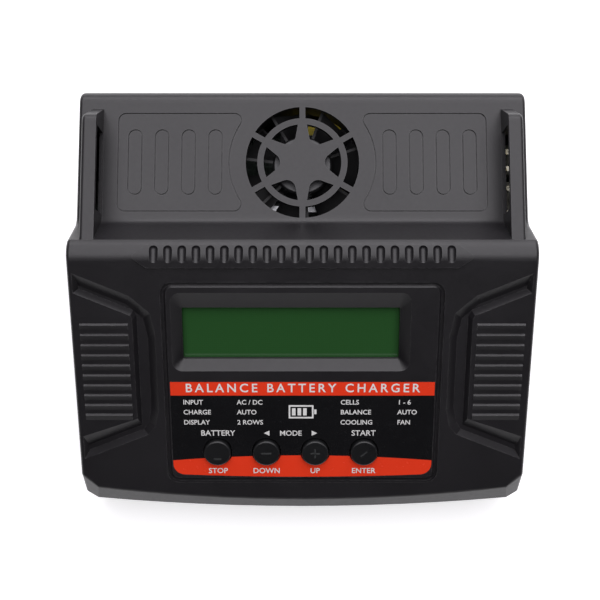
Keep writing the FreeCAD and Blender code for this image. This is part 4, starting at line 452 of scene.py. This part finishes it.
def key_marks():
    """Paint in the keys' engraved marks."""
    for name, x in zip(KEYS, KEY_X):
        place = panel_place(x, KEY_DOWN, KEY_RISE - 0.24 * MM)
        outlines = [[(u * MM, v * MM) for u, v in outline] for outline in MARKS[name]]
        mesh = mesh_from(f"key_mark_{name}",
                         lambda shape: solid_outline(shape, outlines, 0.16 * MM, place))
        piece(f"key_mark_{name}", mesh, "mark_ink", f"key_{name}")


def disc(shape, middle, radius, height, segments=64, hole=0.0):
    """A flat disc or washer with an eased upper edge."""
    ease = min(0.08 * MM, height / 2)
    rings = [(radius, 0), (radius, height - ease), (radius - ease, height)]
    if hole > 0:
        rings += [(hole + ease, height), (hole, height - ease), (hole, 0)]
    loops = []
    for size, level in rings:
        loops.append([
            shape.verts.new(middle + Vector((size * math.cos(a), size * math.sin(a), level)))
            for a in (2 * math.pi * i / segments for i in range(segments))
        ])
    for first, second in zip(loops, loops[1:]):
        for i in range(segments):
            j = (i + 1) % segments
            shape.faces.new((first[i], first[j], second[j], second[i]))
    if hole > 0:
        for i in range(segments):
            j = (i + 1) % segments
            shape.faces.new((loops[-1][i], loops[-1][j], loops[0][j], loops[0][i]))
    else:
        shape.faces.new(loops[0][::-1])
        shape.faces.new(loops[-1])


def fan_details():
    """A paler disc on the fan's hub top: painted sheen standing in for the hub's reflection."""
    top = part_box("fan_impeller")[1][2]
    middle = Vector((FAN_AXIS.x, FAN_AXIS.y, top))
    mesh = mesh_from("fan_hub_painted_sheen",
                     lambda shape: disc(shape, middle, 8.6 * MM, 0.12 * MM))
    piece("fan_hub_painted_sheen", mesh, "hub_label", "fan_rotor")


def wire(name, points, radius, material):
    """A round wire through points, as a mesh."""
    curve = bpy.data.curves.new(name, "CURVE")
    curve.dimensions = "3D"
    curve.bevel_depth = radius
    curve.bevel_resolution = 3
    curve.resolution_u = 6
    curve.use_fill_caps = True
    spline = curve.splines.new("NURBS")
    spline.points.add(len(points) - 1)
    for point, place in zip(spline.points, points):
        point.co = (*place, 1.0)
    spline.order_u = 3
    spline.use_endpoint_u = True
    holder = bpy.data.objects.new(name, curve)
    bpy.context.scene.collection.objects.link(holder)
    bpy.context.view_layer.update()
    mesh = bpy.data.meshes.new_from_object(holder)
    bpy.data.objects.remove(holder)
    for polygon in mesh.polygons:
        polygon.use_smooth = True
    return piece(name, mesh, material)


def toroid_winding(name, node, turns, wire_radius):
    """Wire wound through a ring core, touching it all round."""
    low, high = (Vector(corner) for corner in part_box(node))
    middle = (low + high) / 2
    outer = (high.x - low.x) / 2
    inner = outer * 0.42
    half = (high.z - low.z) / 2
    tube = (outer - inner) / 2 + wire_radius * 1.3
    ring = (outer + inner) / 2
    tall = half + wire_radius * 1.1
    points = []
    steps = 10
    for i in range(turns * steps + 1):
        round_core = 2 * math.pi * i / steps
        along = math.radians(20) + math.radians(320) * i / (turns * steps)
        flat = math.cos(round_core)
        up = math.sin(round_core)
        reach = ring + math.copysign(abs(flat) ** 0.55, flat) * tube
        level = math.copysign(abs(up) ** 0.55, up) * tall
        points.append(middle + Vector((reach * math.cos(along), reach * math.sin(along), level)))
    wire(name, points, wire_radius, "copper_coil")


label_graphics()
key_marks()
fan_details()
toroid_winding("inductor_winding", "power_inductor", 22, 0.45 * MM)
toroid_winding("choke_winding", "mains_choke", 18, 0.5 * MM)


# ---------------------------------------------------------------- floor, lights and camera

CAMERA_PLACE = Vector((-0.74, -36.05, 352.6)) * MM
CAMERA_TILT = math.radians(6.5)
FOCAL = 61.2
SENSOR = 36.0


def stage_mesh(name, corners, material):
    mesh = bpy.data.meshes.new(name)
    mesh.from_pydata([tuple(corner) for corner in corners], [], [tuple(range(len(corners)))])
    thing = bpy.data.objects.new(name, mesh)
    bpy.context.scene.collection.objects.link(thing)
    mesh.materials.append(material)
    return thing


def floor():
    """A white table top that stays evenly bright."""
    nodes = Nodes("floor_white")
    tone = nodes.noise(3.0, 3.0)
    nodes.set("Base Color", nodes.mix(tone, (0.86, 0.86, 0.86), (0.9, 0.9, 0.9)))
    nodes.shader.inputs["Roughness"].default_value = 0.9
    nodes.shader.inputs["Specular IOR Level"].default_value = 0.0
    nodes.shader.inputs["Emission Color"].default_value = (1, 1, 1, 1)
    nodes.shader.inputs["Emission Strength"].default_value = 0.5
    side = 4.0
    stage_mesh("floor", [(-side, -side, 0), (side, -side, 0), (side, side, 0), (-side, side, 0)],
               nodes.material)


LIGHT_TINT = (1.0, 0.975, 1.02)


def area_light(name, place, target, width, depth, radiance):
    """A soft rectangular light of a given radiance, facing a target."""
    light = bpy.data.lights.new(name, "AREA")
    light.shape = "RECTANGLE"
    light.size = width
    light.size_y = depth
    light.energy = radiance * width * depth * math.pi
    light.color = LIGHT_TINT
    thing = bpy.data.objects.new(name, light)
    bpy.context.scene.collection.objects.link(thing)
    thing.location = place
    thing.rotation_euler = (Vector(target) - Vector(place)).to_track_quat("-Z", "Y").to_euler()
    return thing


def world(strength):
    """Dim surroundings."""
    surroundings = bpy.data.worlds.new("surroundings")
    surroundings.use_nodes = True
    background = surroundings.node_tree.nodes["Background"]
    background.inputs["Color"].default_value = (1, 1, 1, 1)
    background.inputs["Strength"].default_value = strength
    bpy.context.scene.world = surroundings


def camera():
    data = bpy.data.cameras.new("camera")
    data.lens = FOCAL
    data.sensor_width = SENSOR
    data.clip_start = 0.01
    thing = bpy.data.objects.new("camera", data)
    bpy.context.scene.collection.objects.link(thing)
    thing.location = CAMERA_PLACE
    thing.rotation_euler = (CAMERA_TILT, 0, 0)
    bpy.context.scene.camera = thing


floor()
area_light("overhead_softbox", (0.14, 0.44, 1.05), (0.14, 0.44, 0), 1.56, 1.52, 2.6)
area_light("rear_softbox", (0.1, 1.4, 0.75), (0, 0.03, 0.05), 1.6, 0.6, 4.0)
world(0.025)
camera()
bpy.context.scene.view_settings.view_transform = "Standard"
bpy.context.scene.view_settings.look = "None"

bpy.context.view_layer.update()
